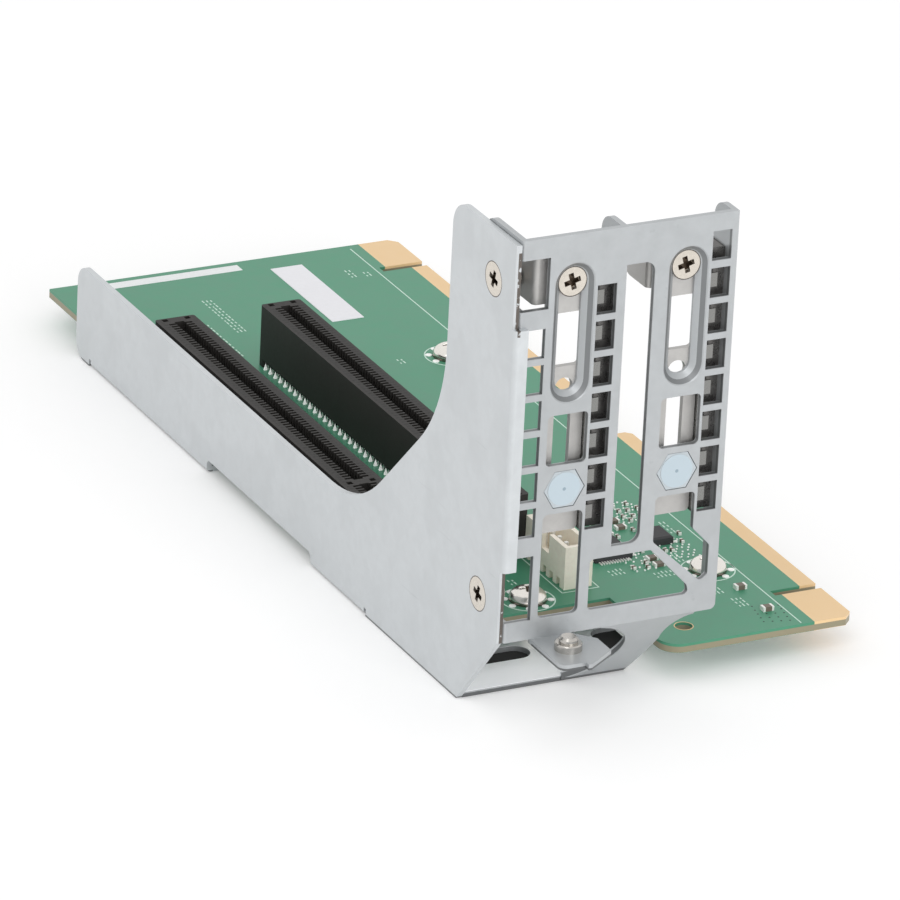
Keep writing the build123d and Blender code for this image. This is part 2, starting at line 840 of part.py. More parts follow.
def make_side_screw(z, name):
    """A flat-head screw through the side wall, threaded into the flange behind."""
    with BuildPart() as screw:
        with BuildSketch(side_plane(0)):
            with Locations((side_screw_y, z)):
                Circle(side_screw_radius)
        extrude(amount=side_screw_head, taper=45)
        with BuildSketch(side_plane(side_screw_head)):
            with Locations((side_screw_y, z)):
                Circle(shank_radius)
        extrude(amount=side_screw_length - side_screw_head)
        with BuildSketch(side_plane(0)):
            with Locations((side_screw_y, z)):
                Rectangle(recess_span, recess_width, rotation=recess_turn)
                Rectangle(recess_width, recess_span, rotation=recess_turn)
        extrude(amount=recess_depth, mode=Mode.SUBTRACT)
    save(screw.part, name)


def make_board_screw(place, name):
    """A round-head screw through the board into its post."""
    with BuildPart() as screw:
        with BuildSketch(top_plane(board_top)):
            with Locations(place):
                Circle(board_screw_radius)
        extrude(amount=board_screw_height)
        chamfer(screw.edges().group_by(Axis.Z)[-1], board_screw_height - board_screw_rim,
                2 * board_screw_rim)
        with BuildSketch(top_plane(board_top)):
            with Locations(place):
                Circle(shank_radius)
        extrude(amount=-board_screw_grip)
        with BuildSketch(top_plane(board_top + board_screw_height)):
            with Locations(place):
                Rectangle(recess_span, recess_width, rotation=recess_turn)
                Rectangle(recess_width, recess_span, rotation=recess_turn)
        extrude(amount=-recess_depth, mode=Mode.SUBTRACT)
    save(screw.part, name)


def make_board_post(place, name):
    """A threaded post between the floor and the board."""
    with BuildPart() as post:
        with BuildSketch(top_plane(sheet)):
            with Locations(place):
                Circle(post_radius)
                Circle(shank_radius, mode=Mode.SUBTRACT)
        extrude(amount=standoff_height)
    save(post.part, name)


def header_places():
    """The places of the header's pins."""
    span = (header_pins_count - 1) * header_pin_pitch
    first = header_y + (header_length - span) / 2
    return [(header_x + header_width / 2, first + n * header_pin_pitch)
            for n in range(header_pins_count)]


def make_header():
    """The header: open box with small vents along its left wall, and its row of pins."""
    right = header_x + header_width
    far = header_y + header_length
    top = board_top + header_height
    with BuildPart() as power_header:
        block(header_x, right, header_y, far, board_top, top)
        block(header_x + header_wall, right - header_wall, header_y + header_wall,
              far - header_wall, board_top + header_floor, top, mode=Mode.SUBTRACT)
        middle = header_y + header_length / 2
        block(header_x, header_x + header_wall, middle - header_notch, middle + header_notch,
              top - header_notch_depth, top, mode=Mode.SUBTRACT)
        for x, y in header_places():
            block(header_x, header_x + header_wall, y - header_notch / 2,
                  y + header_notch / 2, board_top, board_top + header_vent_height,
                  mode=Mode.SUBTRACT)
            block(x - header_pin / 2, x + header_pin / 2, y - header_pin / 2,
                  y + header_pin / 2, board_top, board_top + header_floor,
                  mode=Mode.SUBTRACT)
    save(power_header.part, "power_header")
    with BuildPart() as pins:
        with BuildSketch(top_plane(board_top)):
            with Locations(*header_places()):
                Rectangle(header_pin, header_pin)
        extrude(amount=header_pin_top)
    save(pins.part, "header_pins")


def make_chip():
    """The square chip and its four rows of pins."""
    half = chip_size / 2
    with BuildPart() as control_chip:
        block(chip_x - half, chip_x + half, chip_y - half, chip_y + half, board_top,
              board_top + chip_height)
        chamfer(control_chip.edges().group_by(Axis.Z)[-1], chip_edge)
    save(control_chip.part, "control_chip")
    with BuildPart() as pins:
        with BuildSketch(top_plane(board_top)):
            for side in (-1, 1):
                offset = side * (half + chip_pin_length / 2)
                with Locations((chip_x, chip_y + offset)):
                    with GridLocations(chip_pin_pitch, 1, chip_pins, 1):
                        Rectangle(chip_pin_width, chip_pin_length)
                with Locations((chip_x + offset, chip_y)):
                    with GridLocations(1, chip_pin_pitch, 1, chip_pins):
                        Rectangle(chip_pin_length, chip_pin_width)
        extrude(amount=chip_pin_thickness)
    save(pins.part, "control_chip_pins")


def make_driver():
    """The small chip with a row of pins on each side."""
    with BuildPart() as driver_chip:
        block(driver_x - driver_width / 2, driver_x + driver_width / 2,
              driver_y - driver_length / 2, driver_y + driver_length / 2,
              board_top, board_top + driver_height)
        chamfer(driver_chip.edges().group_by(Axis.Z)[-1], 2 * chip_edge)
    save(driver_chip.part, "driver_chip")
    with BuildPart() as pins:
        with BuildSketch(top_plane(board_top)):
            for side in (-1, 1):
                offset = side * (driver_width / 2 + driver_pin_length / 2)
                with Locations((driver_x + offset, driver_y)):
                    with GridLocations(1, driver_pin_pitch, 1, driver_pins):
                        Rectangle(driver_pin_length, driver_pin_width)
        extrude(amount=chip_pin_thickness)
    save(pins.part, "driver_chip_pins")


def make_small_parts():
    """The small two-ended parts of the board: bodies in one piece, ends in another."""
    places = [(x, y + k * part_step) for x, y, count in part_rows for k in range(count)]
    with BuildPart() as bodies:
        with BuildSketch(top_plane(board_top)):
            with Locations(*places):
                Rectangle(part_length - 2 * part_end, part_width)
        extrude(amount=part_height)
        with BuildSketch(top_plane(board_top)):
            with Locations(*large_part_places):
                Rectangle(large_part_length - 2 * large_part_end, large_part_width)
        extrude(amount=large_part_height)
    save(bodies.part, "component_bodies")
    with BuildPart() as ends:
        with BuildSketch(top_plane(board_top)):
            for side in (-1, 1):
                offset = side * (part_length - part_end) / 2
                with Locations(*[(x + offset, y) for x, y in places]):
                    Rectangle(part_end, part_width)
        extrude(amount=part_height)
        with BuildSketch(top_plane(board_top)):
            for side in (-1, 1):
                offset = side * (large_part_length - large_part_end) / 2
                with Locations(*[(x + offset, y) for x, y in large_part_places]):
                    Rectangle(large_part_end, large_part_width)
        extrude(amount=large_part_height)
    save(ends.part, "component_ends")


def make_label():
    """The blank label on the board."""
    with BuildPart() as blank_label:
        block(label_left, label_right, label_near, label_far, board_top,
              board_top + label_thickness)
    save(blank_label.part, "blank_label")


make_board()
for n, centre in enumerate(slot_columns, 1):
    make_housing(centre, f"connector_housing_{n}")
    make_contacts(centre, f"connector_contacts_{n}")
make_side_bracket()
make_front_plate()
make_guide_stud()
for n, column in enumerate(plate_columns, 1):
    make_retainer(column, f"retainer_strip_{n}")
    make_spring_strip(n - 1, f"spring_strip_{n}")
    make_hex_guide(column, f"hex_guide_{n}")
    make_retainer_screw(column, f"retainer_screw_{n}")
make_side_screw(side_screw_low, "side_screw_lower")
make_side_screw(side_screw_high, "side_screw_upper")
for n, place in enumerate(board_screw_places, 1):
    make_board_screw(place, f"board_screw_{n}")
    make_board_post(place, f"board_post_{n}")
make_header()
make_chip()
make_driver()
make_small_parts()
make_label()
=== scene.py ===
import math

import bpy
import numpy as np
from bpy.props import FloatProperty, FloatVectorProperty, PointerProperty
from mathutils import Matrix, Vector


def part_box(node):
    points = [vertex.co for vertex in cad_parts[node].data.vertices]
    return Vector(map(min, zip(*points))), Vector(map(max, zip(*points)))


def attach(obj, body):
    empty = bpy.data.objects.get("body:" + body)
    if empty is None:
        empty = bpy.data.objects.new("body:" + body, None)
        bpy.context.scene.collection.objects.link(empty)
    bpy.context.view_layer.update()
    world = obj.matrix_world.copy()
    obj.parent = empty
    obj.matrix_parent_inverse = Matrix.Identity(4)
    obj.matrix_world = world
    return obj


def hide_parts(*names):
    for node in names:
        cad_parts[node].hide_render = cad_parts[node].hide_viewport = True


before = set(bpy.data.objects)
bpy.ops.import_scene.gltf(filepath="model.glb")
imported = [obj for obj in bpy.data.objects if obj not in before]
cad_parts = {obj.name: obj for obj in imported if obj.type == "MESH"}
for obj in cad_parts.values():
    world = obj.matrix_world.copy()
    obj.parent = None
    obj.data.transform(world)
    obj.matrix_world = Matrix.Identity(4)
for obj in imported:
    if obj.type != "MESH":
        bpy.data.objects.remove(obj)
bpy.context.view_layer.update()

bl_info = {
    "name": "Riser Card",
    "version": (1, 0, 0),
    "blender": (4, 5, 0),
    "location": "View3D > Sidebar > Riser",
    "description": "Dresses a riser card: sheet steel, board print, slots, screws and small parts",
    "category": "Object",
}

MM = 0.001
BODY = "root"

# Places on the frame: the wall's outer face, the front plate's front face, the board's faces
wall_low, wall_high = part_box("side_bracket")
board_low, board_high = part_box("circuit_board")
LIP = 1.0 * MM
WALL_X = wall_low[0]
PLATE_Y = wall_low[1] + LIP
FLOOR_Z = wall_low[2]
BOARD_TOP = board_high[2]
BOARD_UNDER = board_low[2]

# The card's width, the wall's height and how far the wall runs back, in millimetres
CARD_WIDTH = (board_high[0] - WALL_X) / MM
WALL_HEIGHT = (wall_high[2] - FLOOR_Z) / MM
WALL_BACK = (wall_high[1] - PLATE_Y) / MM

# The photograph's camera, seen from the far left corner of the first slot at the board's top
CAMERA_AZIMUTH = math.radians(27.4388)
CAMERA_ELEVATION = math.radians(23.6245)
CAMERA_ROLL = math.radians(2.8346)
CAMERA_DISTANCE = 1497.775 * MM
PICTURE_SIZE = 900.0
FOCAL_PIXELS = 8627.2
ANCHOR_PIXEL = (152.640, 379.917)
ANCHOR = (1.77 * MM, 136.0 * MM)
SENSOR = 36.0

# Boxes of painted shade, painted light and rust on the sheets, in millimetres as corner_at() takes
# them
INNER_X = 1.3
TAB_TOP = 14.7
LEG_RISE = 15.0
LEG_DEPTH = 12.9
# Painted shade on the windows', the tab's and the leg's cut sides
WINDOW_SIDES = ((INNER_X, 0.18, 16.0), (CARD_WIDTH, 0.82, WALL_HEIGHT))
TAB_SIDES = ((INNER_X, -14.0, 13.5), (CARD_WIDTH, -0.3, TAB_TOP - 0.12))
LEG_SIDES = ((17.0, -1.0, 0.5), (CARD_WIDTH, LEG_DEPTH, LEG_RISE))
# Painted light on the floor panel's upper face
FLOOR_PANEL_LIGHT = ((INNER_X, 12.8, 0.9), (CARD_WIDTH, 45.0, 1.3))
# Painted shade on the floor panel's front edge and along the wall's foot
PANEL_EDGE_SHADE = ((0.0, 9.0, -1.0), (CARD_WIDTH, 13.5, 0.65))
WALL_FOOT_SHADE = ((-1.0, -1.0, -1.0), (1.2, WALL_BACK, 0.3))
# Rust specks and painted shade of the gap between the wall's front edge and the plate
LOWER_RUST_AND_SHADE = ((0.45, -1.0, 14.0), (1.05, 0.15, 28.0))
UPPER_RUST_AND_SHADE = ((0.45, -1.0, 69.0), (1.05, 0.15, 83.0))

# Shares of a sheet's colour left in its clouds and scratches, and of the scratches' colour
# left as painted shade on the windows' cut sides, on the tab's and along every other dark edge
CLOUD = 0.86
SCRATCH_AND_SHADE = 0.66
WINDOW_SHADE = 0.72
TAB_SHADE = 0.45
EDGE_SHADE = 0.5

# The middle of the cut leg's thickness under its sloping face, and half of what gets painted shade
LEG_MIDDLE = 0.5 * MM
LEG_HALF = 0.32 * MM

# The board's edge bands, key slits, guide hole and prints, in millimetres as spot() takes them
BAND_X = 66.8
TONGUE_X = 62.4
NEAR_SLIT = 19.0
FAR_SLIT = 167.4
GUIDE_HOLE = (41.3, 12.8)
LONG_LINE = ((60.1, 7.0), (60.1, 178.0))
PRINTED_BOX = ((28.4, 31.4), (35.2, 47.4))
PRINT_FIELD = ((12.0, 175.7), (37.6, 178.2))

# Widths of the print's lines, the guide hole's pad and the solder dots round each screw
LONG_LINE_WIDTH = 0.22 * MM
BOX_LINE_WIDTH = 0.2 * MM
CIRCLE_HALF = 0.12 * MM
PAD_INNER = 1.5 * MM
PAD_OUTER = 1.64 * MM
DOT_CIRCLE = 3.85 * MM
DOTS = 8

# Contacts, their solder, and the small parts and beads on the board
CONTACT_PITCH = 1.0 * MM
RIB_ROW = (2.1 * MM, 3.2 * MM)
SOLDER_OUTSET = 0.45 * MM
SOLDER_HALF = (0.30, 0.24)
SOLDER_HEIGHT = 1.25 * MM
TINY_HALF = (0.27, 0.52)
TINY_END = 0.22 * MM
TINY_HEIGHT = 0.5 * MM
BEAD = 0.17 * MM
VIA_LIFT = 0.02 * MM

# The board screws' shanks, and the radius of the painted shade in every screw's recess
SHANK_RADIUS = 1.4 * MM
RECESS_RADIUS = 1.4 * MM

# Fixed colours
RETAINER_COLOUR = (0.50, 0.49, 0.475)
# Rust, with painted shade of the gap at the wall's front edge
RUST_AND_GAP_SHADE = (0.09, 0.07, 0.055)
GUIDE_COLOUR = (0.50, 0.55, 0.58)
GUIDE_DISC = (0.50, 0.585, 0.64)
# The guide's dimple is painted shade
GUIDE_DIMPLE_SHADE = (0.30, 0.38, 0.44)
# The spring strip is darkened as painted shade, its finger faces lightened as painted light
SHADED_SPRING = (0.15, 0.145, 0.14)
LIT_SPRING_FACE = (0.26, 0.26, 0.25)
# Painted shade in the grooves between the slots' ribs
RIB_GROOVE_SHADE = (0.014, 0.013, 0.012)
FIELD_COLOUR = (0.84, 0.86, 0.86)
ROUND_HEAD = (0.80, 0.77, 0.72)
# Painted shade at the foot of the round heads
HEAD_FOOT_SHADE = (0.22, 0.19, 0.16)
STUD_COLOUR = (0.50, 0.48, 0.45)
# Painted shade round the flat heads' rims
FLAT_RIM_SHADE = (0.10, 0.09, 0.08)
# Painted shade in every screw's recess
RECESS_SHADE = (0.085, 0.063, 0.045)
PIN_COLOUR = (0.88, 0.88, 0.85)
PART_COLOUR = (0.16, 0.13, 0.10)
PAPER_COLOUR = (0.83, 0.83, 0.86)
WHITE = (1.0, 1.0, 1.0)

# The floor: half its side, how far it lies under the card, and its fields of painted deep shade
FLOOR_REACH = 3.0
FLOOR_DROP = 0.05 * MM
SHADE_COLOUR = (0.05, 0.05, 0.05)
SHADE_FIELDS = (((2.0, 13.0), (29.0, 45.0)), ((29.0, 20.5), (36.5, 32.0)))

# The lamps: place and width in metres, and the point they are turned to
SOFT_LAMP = ((-0.9, -1.0, 1.5), 1.2)
FILL_LAMP = ((0.1, -1.6, 0.35), 0.9)
LAMP_AIM = Vector((0, 0, 0.03))


def spot(x, y):
    """A place on the card: millimetres right of the wall and behind the front plate."""
    return WALL_X + x * MM, PLATE_Y + y * MM


def spots(places):
    """The same for many places."""
    return np.array([WALL_X, PLATE_Y]) + np.asarray(places) * MM


def corner_at(x, y, z):
    """The same with millimetres above the floor as the third axis."""
    return (*spot(x, y), FLOOR_Z + z * MM)


class RISER_PG_steel(bpy.types.PropertyGroup):
    """Finish of the sheet steel and of the screws."""
    colour: FloatVectorProperty(
        name="Sheet colour", description="Colour of the plated sheet",
        subtype="COLOR", default=(0.615, 0.64, 0.655))
    # Painted shade: the plate's sheet is dimmed beside the wall's
    plate_painted_shade: FloatProperty(
        name="Plate shade", description="The plate's brightness beside the wall's",
        default=0.75, min=0, max=1, subtype="FACTOR")
    # Painted light: a brighter colour on the floor panel's upper face, which lies in the plate's
    # shade
    foot_painted_light: FloatVectorProperty(
        name="Foot colour", description="Colour of the floor panel's upper face",
        subtype="COLOR", default=(0.93, 0.95, 0.97))
    roughness: FloatProperty(
        name="Sheet roughness", description="How dull the sheet is",
        default=0.42, min=0, max=1, subtype="FACTOR")
    screw_colour: FloatVectorProperty(
        name="Screw colour", description="Colour of the screws",
        subtype="COLOR", default=(0.68, 0.63, 0.56))


class RISER_PG_board(bpy.types.PropertyGroup):
    """Colours of the board and sizes of its print."""
    mask_colour: FloatVectorProperty(
        name="Board colour", description="Green of the board",
        subtype="COLOR", default=(0.074, 0.283, 0.171))
    band_colour: FloatVectorProperty(
        name="Band colour", description="Colour of the edge bands",
        subtype="COLOR", default=(0.84, 0.59, 0.32))
    core_colour: FloatVectorProperty(
        name="Core colour", description="Colour of the cut sides",
        subtype="COLOR", default=(0.30, 0.27, 0.18))
    gold_colour: FloatVectorProperty(
        name="Gold colour", description="Colour of the contacts",
        subtype="COLOR", default=(0.80, 0.58, 0.33))
    tail_colour: FloatVectorProperty(
        name="Tail colour", description="Colour of soldered ends",
        subtype="COLOR", default=(0.95, 0.96, 0.94))
    ink_colour: FloatVectorProperty(
        name="Ink colour", description="Colour of the print",
        subtype="COLOR", default=(0.62, 0.80, 0.70))
    print_height: FloatProperty(
        name="Print height", description="How far print stands proud",
        default=0.03 * MM, unit="LENGTH", subtype="DISTANCE")
    circle_radius: FloatProperty(
        name="Circle radius", description="Radius of printed circles",
        default=4.55 * MM, unit="LENGTH", subtype="DISTANCE")
    dot_radius: FloatProperty(
        name="Dot radius", description="Radius of a solder dot",
        default=0.6 * MM, unit="LENGTH", subtype="DISTANCE")


class RISER_PG_plastic(bpy.types.PropertyGroup):
    """Colours of the moulded pieces."""
    slot_colour: FloatVectorProperty(
        name="Slot colour", description="Colour of the slots",
        subtype="COLOR", default=(0.026, 0.024, 0.022))
    # The header's cream, raised brighter than its own colour as painted light
    header_colour: FloatVectorProperty(
        name="Header colour", description="Colour of the header",
        subtype="COLOR", default=(1.0, 0.93, 0.80))
    chip_colour: FloatVectorProperty(
        name="Chip colour", description="Colour of the chips",
        subtype="COLOR", default=(0.030, 0.030, 0.033))


class RISER_PG_stage(bpy.types.PropertyGroup):
    """Light and floor."""
    sky: FloatProperty(
        name="Sky strength", description="Strength of the even light", default=0.82, min=0)
    lamp: FloatProperty(
        name="Lamp power", description="Power of the soft lamp, in watts", default=6.3, min=0)
    fill: FloatProperty(
        name="Fill power", description="Power of the low front lamp, in watts",
        default=7.0, min=0)
    lift: FloatProperty(
        name="Floor lift", description="How far the floor is raised to white",
        default=0.16, min=0)
    floor_colour: FloatVectorProperty(
        name="Floor colour", description="Colour of the floor",
        subtype="COLOR", default=(0.90, 0.90, 0.90))


# Mesh makers

def make_mesh(name, points, faces, material, smooth=False):
    """A piece from points in metres and faces by index, as an array or as lists."""
    mesh = bpy.data.meshes.new(name)
    mesh.from_pydata(points.tolist(), [], faces.tolist() if hasattr(faces, "tolist") else faces)
    mesh.update()
    if smooth:
        mesh.shade_smooth()
    mesh.materials.append(material)
    piece = bpy.data.objects.new(name, mesh)
    bpy.context.scene.collection.objects.link(piece)
    return piece


def grid_faces(rows, steps, closed=True):
    """Quads between neighbouring rows of a grid of points: point k of row r has the index
    r times the steps plus k, and a closed row's last point joins its first."""
    row, step = np.indices((rows - 1, steps if closed else steps - 1)).reshape(2, -1)
    after = (step + 1) % steps
    return np.stack([row * steps + step, (row + 1) * steps + step, (row + 1) * steps + after,
                     row * steps + after], axis=1)


def tiles(low, high, bottom, top):
    """Thin plates: each is the rectangle from low to high, lifted from bottom to top.

    Its four corners go round at the bottom and then at the top. The underside lies on its
    carrier and is left out."""
    count = len(low)
    x = np.stack([low[:, 0], high[:, 0], high[:, 0], low[:, 0]] * 2, axis=1)
    y = np.stack([low[:, 1], low[:, 1], high[:, 1], high[:, 1]] * 2, axis=1)
    z = np.tile(np.repeat([bottom, top], 4), (count, 1))
    points = np.stack([x, y, z], axis=2).reshape(-1, 3)
    sides = np.array([[4, 5, 6, 7], [0, 1, 5, 4], [1, 2, 6, 5], [2, 3, 7, 6], [3, 0, 4, 7]])
    faces = (np.arange(count)[:, None, None] * 8 + sides).reshape(-1, 4)
    return points, faces


def turned(centres, radii, heights, steps):
    """A section of radii and heights, turned about each centre by cosine and sine."""
    centres = np.atleast_2d(centres)[:, :, None, None]
    radii = np.array(radii)[:, None]
    angle = np.linspace(0, 2 * np.pi, steps, endpoint=False)
    x = centres[:, 0] + radii * np.cos(angle)
    y = centres[:, 1] + radii * np.sin(angle)
    z = np.broadcast_to(np.array(heights)[:, None], x.shape)
    return np.stack([x, y, z], axis=3).reshape(-1, 3)


def rings(centres, inner, outer, bottom, top, steps=28):
    """Flat rings: the section goes up at the inner radius, out to the outer one and down."""
    points = turned(centres, [inner, inner, outer, outer], [bottom, top, top, bottom], steps)
    starts = np.arange(0, len(points), 4 * steps)[:, None, None]
    return points, (starts + grid_faces(4, steps)).reshape(-1, 4)


def discs(centres, radius, bottom, top, steps):
    """Flat discs: a rim at the bottom, the same rim at the top, and one face across the top."""
    points = turned(centres, [radius, radius], [bottom, top], steps)
    step = np.arange(steps)
    after = (step + 1) % steps
    side = np.stack([step, after, steps + after, steps + step], axis=1)
    faces = []
    for start in range(0, len(points), 2 * steps):
        faces += (side + start).tolist()
        faces.append((step + steps + start).tolist())
    return points, faces


def ribbon(path, width, bottom, top):
    """A flat strip along a path: each point is moved half the width to both sides along the
    mean normal of its two lengths, and further at a bend, which keeps the strip even."""
    along = np.diff(path, axis=0)
    along /= np.linalg.norm(along, axis=1)[:, None]
    before = np.vstack([along[:1], along])
    after = np.vstack([along, along[-1:]])
    mean = before + after
    mean /= np.linalg.norm(mean, axis=1)[:, None]
    normal = np.stack([-mean[:, 1], mean[:, 0]], axis=1)
    stretch = 1.0 / np.clip((mean * before).sum(axis=1), 0.5, 1.0)
    offset = normal * (stretch * width / 2)[:, None]
    points = np.zeros((4, len(path), 3))
    points[:2, :, :2] = path + offset
    points[2:, :, :2] = path - offset
    points[[0, 3], :, 2] = bottom
    points[[1, 2], :, 2] = top
    return points.reshape(-1, 3), grid_faces(4, len(path), closed=False)


def joined(parts):
    """Several (points, quads) pairs as one pair, with the indices moved on."""
    points, quads = zip(*parts)
    starts = np.cumsum([0] + [len(some) for some in points])
    return np.vstack(points), np.vstack([some + start for some, start in zip(quads, starts)])


def middle_of(node):
    """The middle of a CAD node's box, seen from above."""
    low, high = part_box(node)
    return (low[0] + high[0]) / 2, (low[1] + high[1]) / 2


def pan_head(node):
    """A round head with a cross recess on a polar grid, in place of a plain one.

    Height over radius r is a rim plus the crown times the square root of 1 - (r / R) to the
    power of the roundness. The cross sinks it where one of two crossing bars is closer than
    half its width, with soft walls, and fades out towards the ends of the bars."""
    circles, steps = 40, 72
    crowding, roundness, turn = 0.8, 2.6, math.radians(20)
    rim, recess = 0.35 * MM, 0.8 * MM
    bar_half, wall_reach, wall_run = 0.30 * MM, 0.16 * MM, 0.22 * MM
    bar_end, bar_fade = 0.48, 0.12
    low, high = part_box(node)
    centre = middle_of(node)
    radius = (high[0] - low[0]) / 2
    crown = high[2] - BOARD_TOP - rim
    share = np.linspace(0, 1, circles + 1)[1:] ** crowding
    angle = np.linspace(0, 2 * np.pi, steps, endpoint=False)
    r, a = np.meshgrid(share * radius, angle, indexing="ij")
    z = rim + crown * np.sqrt(np.clip(1 - (r / radius) ** roundness, 0, 1))
    across = np.minimum(np.abs(r * np.sin(a + turn)), np.abs(r * np.cos(a + turn)))
    wall = np.clip((bar_half + wall_reach - across) / wall_run, 0, 1)
    reach = np.clip((bar_end * radius - r) / (bar_fade * radius), 0, 1)
    z = z - recess * wall * reach
    upper = np.stack([centre[0] + r * np.cos(a), centre[1] + r * np.sin(a), BOARD_TOP + z],
                     axis=2).reshape(-1, 3)
    foot = upper[-steps:].copy()
    foot[:, 2] = BOARD_TOP
    tip = [*centre, BOARD_TOP + rim + crown - recess]
    points = np.vstack([upper, foot, tip])
    step = np.arange(steps)
    fan = np.stack([np.full(steps, len(points) - 1), step, (step + 1) % steps], axis=1)
    return points, grid_faces(circles + 1, steps).tolist() + fan.tolist()


# Shader groups and masks

def new_group(name, inputs, outputs):
    """An empty shader group with named sockets: (name, kind, default) in, (name, kind) out."""
    group = bpy.data.node_groups.new(name, "ShaderNodeTree")
    for label, kind, default in inputs:
        socket = group.interface.new_socket(name=label, in_out="INPUT",
                                            socket_type=f"NodeSocket{kind}")
        socket.default_value = default
    for label, kind in outputs:
        group.interface.new_socket(name=label, in_out="OUTPUT",
                                   socket_type=f"NodeSocket{kind}")
    return group, group.nodes.new("NodeGroupInput").outputs, group.nodes.new("NodeGroupOutput")


def add(tree, kind, links=None, **settings):
    """A shader node of a kind, its settings, and its inputs linked or set by their keys."""
    node = tree.nodes.new(f"ShaderNode{kind}")
    for key, value in settings.items():
        setattr(node, key, value)
    for key, value in (links or {}).items():
        if isinstance(value, bpy.types.NodeSocket):
            tree.links.new(value, node.inputs[key])
        else:
            node.inputs[key].default_value = value
    return node


def maths(tree, operation, *values, **settings):
    """The result of one sum, its inputs linked or set in order."""
    return add(tree, "Math", dict(enumerate(values)), operation=operation,
               **settings).outputs[0]


def vectors(tree, operation, *values, result="Vector"):
    """The result of one sum on vectors, which is a vector or a value."""
    return add(tree, "VectorMath", dict(enumerate(values)),
               operation=operation).outputs[result]


def placed(tree, name, make, values):
    """A shader group placed in a material, and made when it is first asked for."""
    return add(tree, "Group", values, node_tree=bpy.data.node_groups.get(name) or make())


def rgba(colour):
    """A colour property as four numbers."""
    return (colour[0], colour[1], colour[2], 1.0)


def dimmed(colour, share):
    """A colour multiplied by a share."""
    return [share * part for part in colour]


def noise_range(tree, noise, low, high):
    """A noise's usual range of 0.3 to 0.7 spread from low to high."""
    return add(tree, "MapRange",
               {"Value": noise, "From Min": 0.3, "From Max": 0.7, "To Min": low,
                "To Max": high}).outputs["Result"]


def grain_group():
    """Fine grain: noise at a scale, as a mask and as a colour tinted by a spread about one."""
    group, inside, outside = new_group(
        "Fine grain",
        [("Vector", "Vector", (0, 0, 0)), ("Colour", "Color", (0.5, 0.5, 0.5, 1)),
         ("Scale", "Float", 1500.0), ("Spread", "Float", 0.1)],
        [("Colour", "Color"), ("Mask", "Float")])
    noise = add(group, "TexNoise", {"Vector": inside["Vector"], "Scale": inside["Scale"],
                                    "Detail": 4.0, "Roughness": 0.6}).outputs["Fac"]
    dark = maths(group, "SUBTRACT", 1.0, inside["Spread"])
    light = maths(group, "ADD", 1.0, inside["Spread"])
    tint = add(group, "VectorMath",
               {0: inside["Colour"], "Scale": noise_range(group, noise, dark, light)},
               operation="SCALE")
    group.links.new(tint.outputs["Vector"], outside.inputs["Colour"])
    group.links.new(noise, outside.inputs["Mask"])
    return group


def region_group():
    """One where a place lies inside a box on all three axes, and zero outside it."""
    group, inside, outside = new_group(
        "Inside a box",
        [("Vector", "Vector", (0, 0, 0)), ("Middle", "Vector", (0, 0, 0)),
         ("Half", "Vector", (1, 1, 1))],
        [("Mask", "Float")])
    away = vectors(group, "ABSOLUTE",
                   vectors(group, "SUBTRACT", inside["Vector"], inside["Middle"]))
    axes = add(group, "SeparateXYZ",
               {0: vectors(group, "SUBTRACT", inside["Half"], away)}).outputs
    least = maths(group, "MINIMUM", maths(group, "MINIMUM", axes[0], axes[1]), axes[2])
    group.links.new(maths(group, "GREATER_THAN", least, 0.0), outside.inputs["Mask"])
    return group


def round_group():
    """One where a place lies nearer than a radius to a middle, on the axes that are kept."""
    group, inside, outside = new_group(
        "Inside a round",
        [("Vector", "Vector", (0, 0, 0)), ("Middle", "Vector", (0, 0, 0)),
         ("Keep", "Vector", (1, 1, 0)), ("Radius", "Float", 0.001)],
        [("Mask", "Float")])
    off = vectors(group, "SUBTRACT", inside["Vector"], inside["Middle"])
    away = vectors(group, "LENGTH", vectors(group, "MULTIPLY", off, inside["Keep"]),
                   result="Value")
    group.links.new(maths(group, "LESS_THAN", away, inside["Radius"]), outside.inputs["Mask"])
    return group


def speckle_group():
    """Specks: one where a noise of a given scale rises over a level, with a soft edge."""
    steepness = 14.0
    group, inside, outside = new_group(
        "Specks",
        [("Vector", "Vector", (0, 0, 0)), ("Scale", "Float", 900.0), ("Level", "Float", 0.6),
         ("Amount", "Float", 1.0)],
        [("Mask", "Float")])
    noise = add(group, "TexNoise", {"Vector": inside["Vector"], "Scale": inside["Scale"],
                                    "Detail": 3.0})
    over = maths(group, "SUBTRACT", noise.outputs["Fac"], inside["Level"])
    speck = maths(group, "MULTIPLY", over, steepness, use_clamp=True)
    group.links.new(maths(group, "MULTIPLY", speck, inside["Amount"]), outside.inputs["Mask"])
    return group


def new_material(name):
    """A material, its tree and its shader, with a node for the place on the piece."""
    material = bpy.data.materials.new(name)
    material.use_nodes = True
    tree = material.node_tree
    add(tree, "TexCoord")
    return material, tree, tree.nodes["Principled BSDF"]


def place_in(material):
    """The place on the piece, in the frame's coordinates."""
    return material.node_tree.nodes["Texture Coordinate"].outputs["Object"]


def region(material, low, high):
    """The mask of a box between two corners of the frame."""
    low, high = Vector(low), Vector(high)
    return placed(material.node_tree, "Inside a box", region_group,
                  {"Vector": place_in(material), "Middle": (low + high) / 2,
                   "Half": (high - low) / 2}).outputs["Mask"]


def box_region(material, box):
    """The mask of a box whose two corners are in millimetres, as corner_at() takes them."""
    low, high = box
    return region(material, corner_at(*low), corner_at(*high))


def round_region(material, middle, keep, radius):
    """The mask of a round about a middle."""
    return placed(material.node_tree, "Inside a round", round_group,
                  {"Vector": place_in(material), "Middle": middle, "Keep": keep,
                   "Radius": radius}).outputs["Mask"]


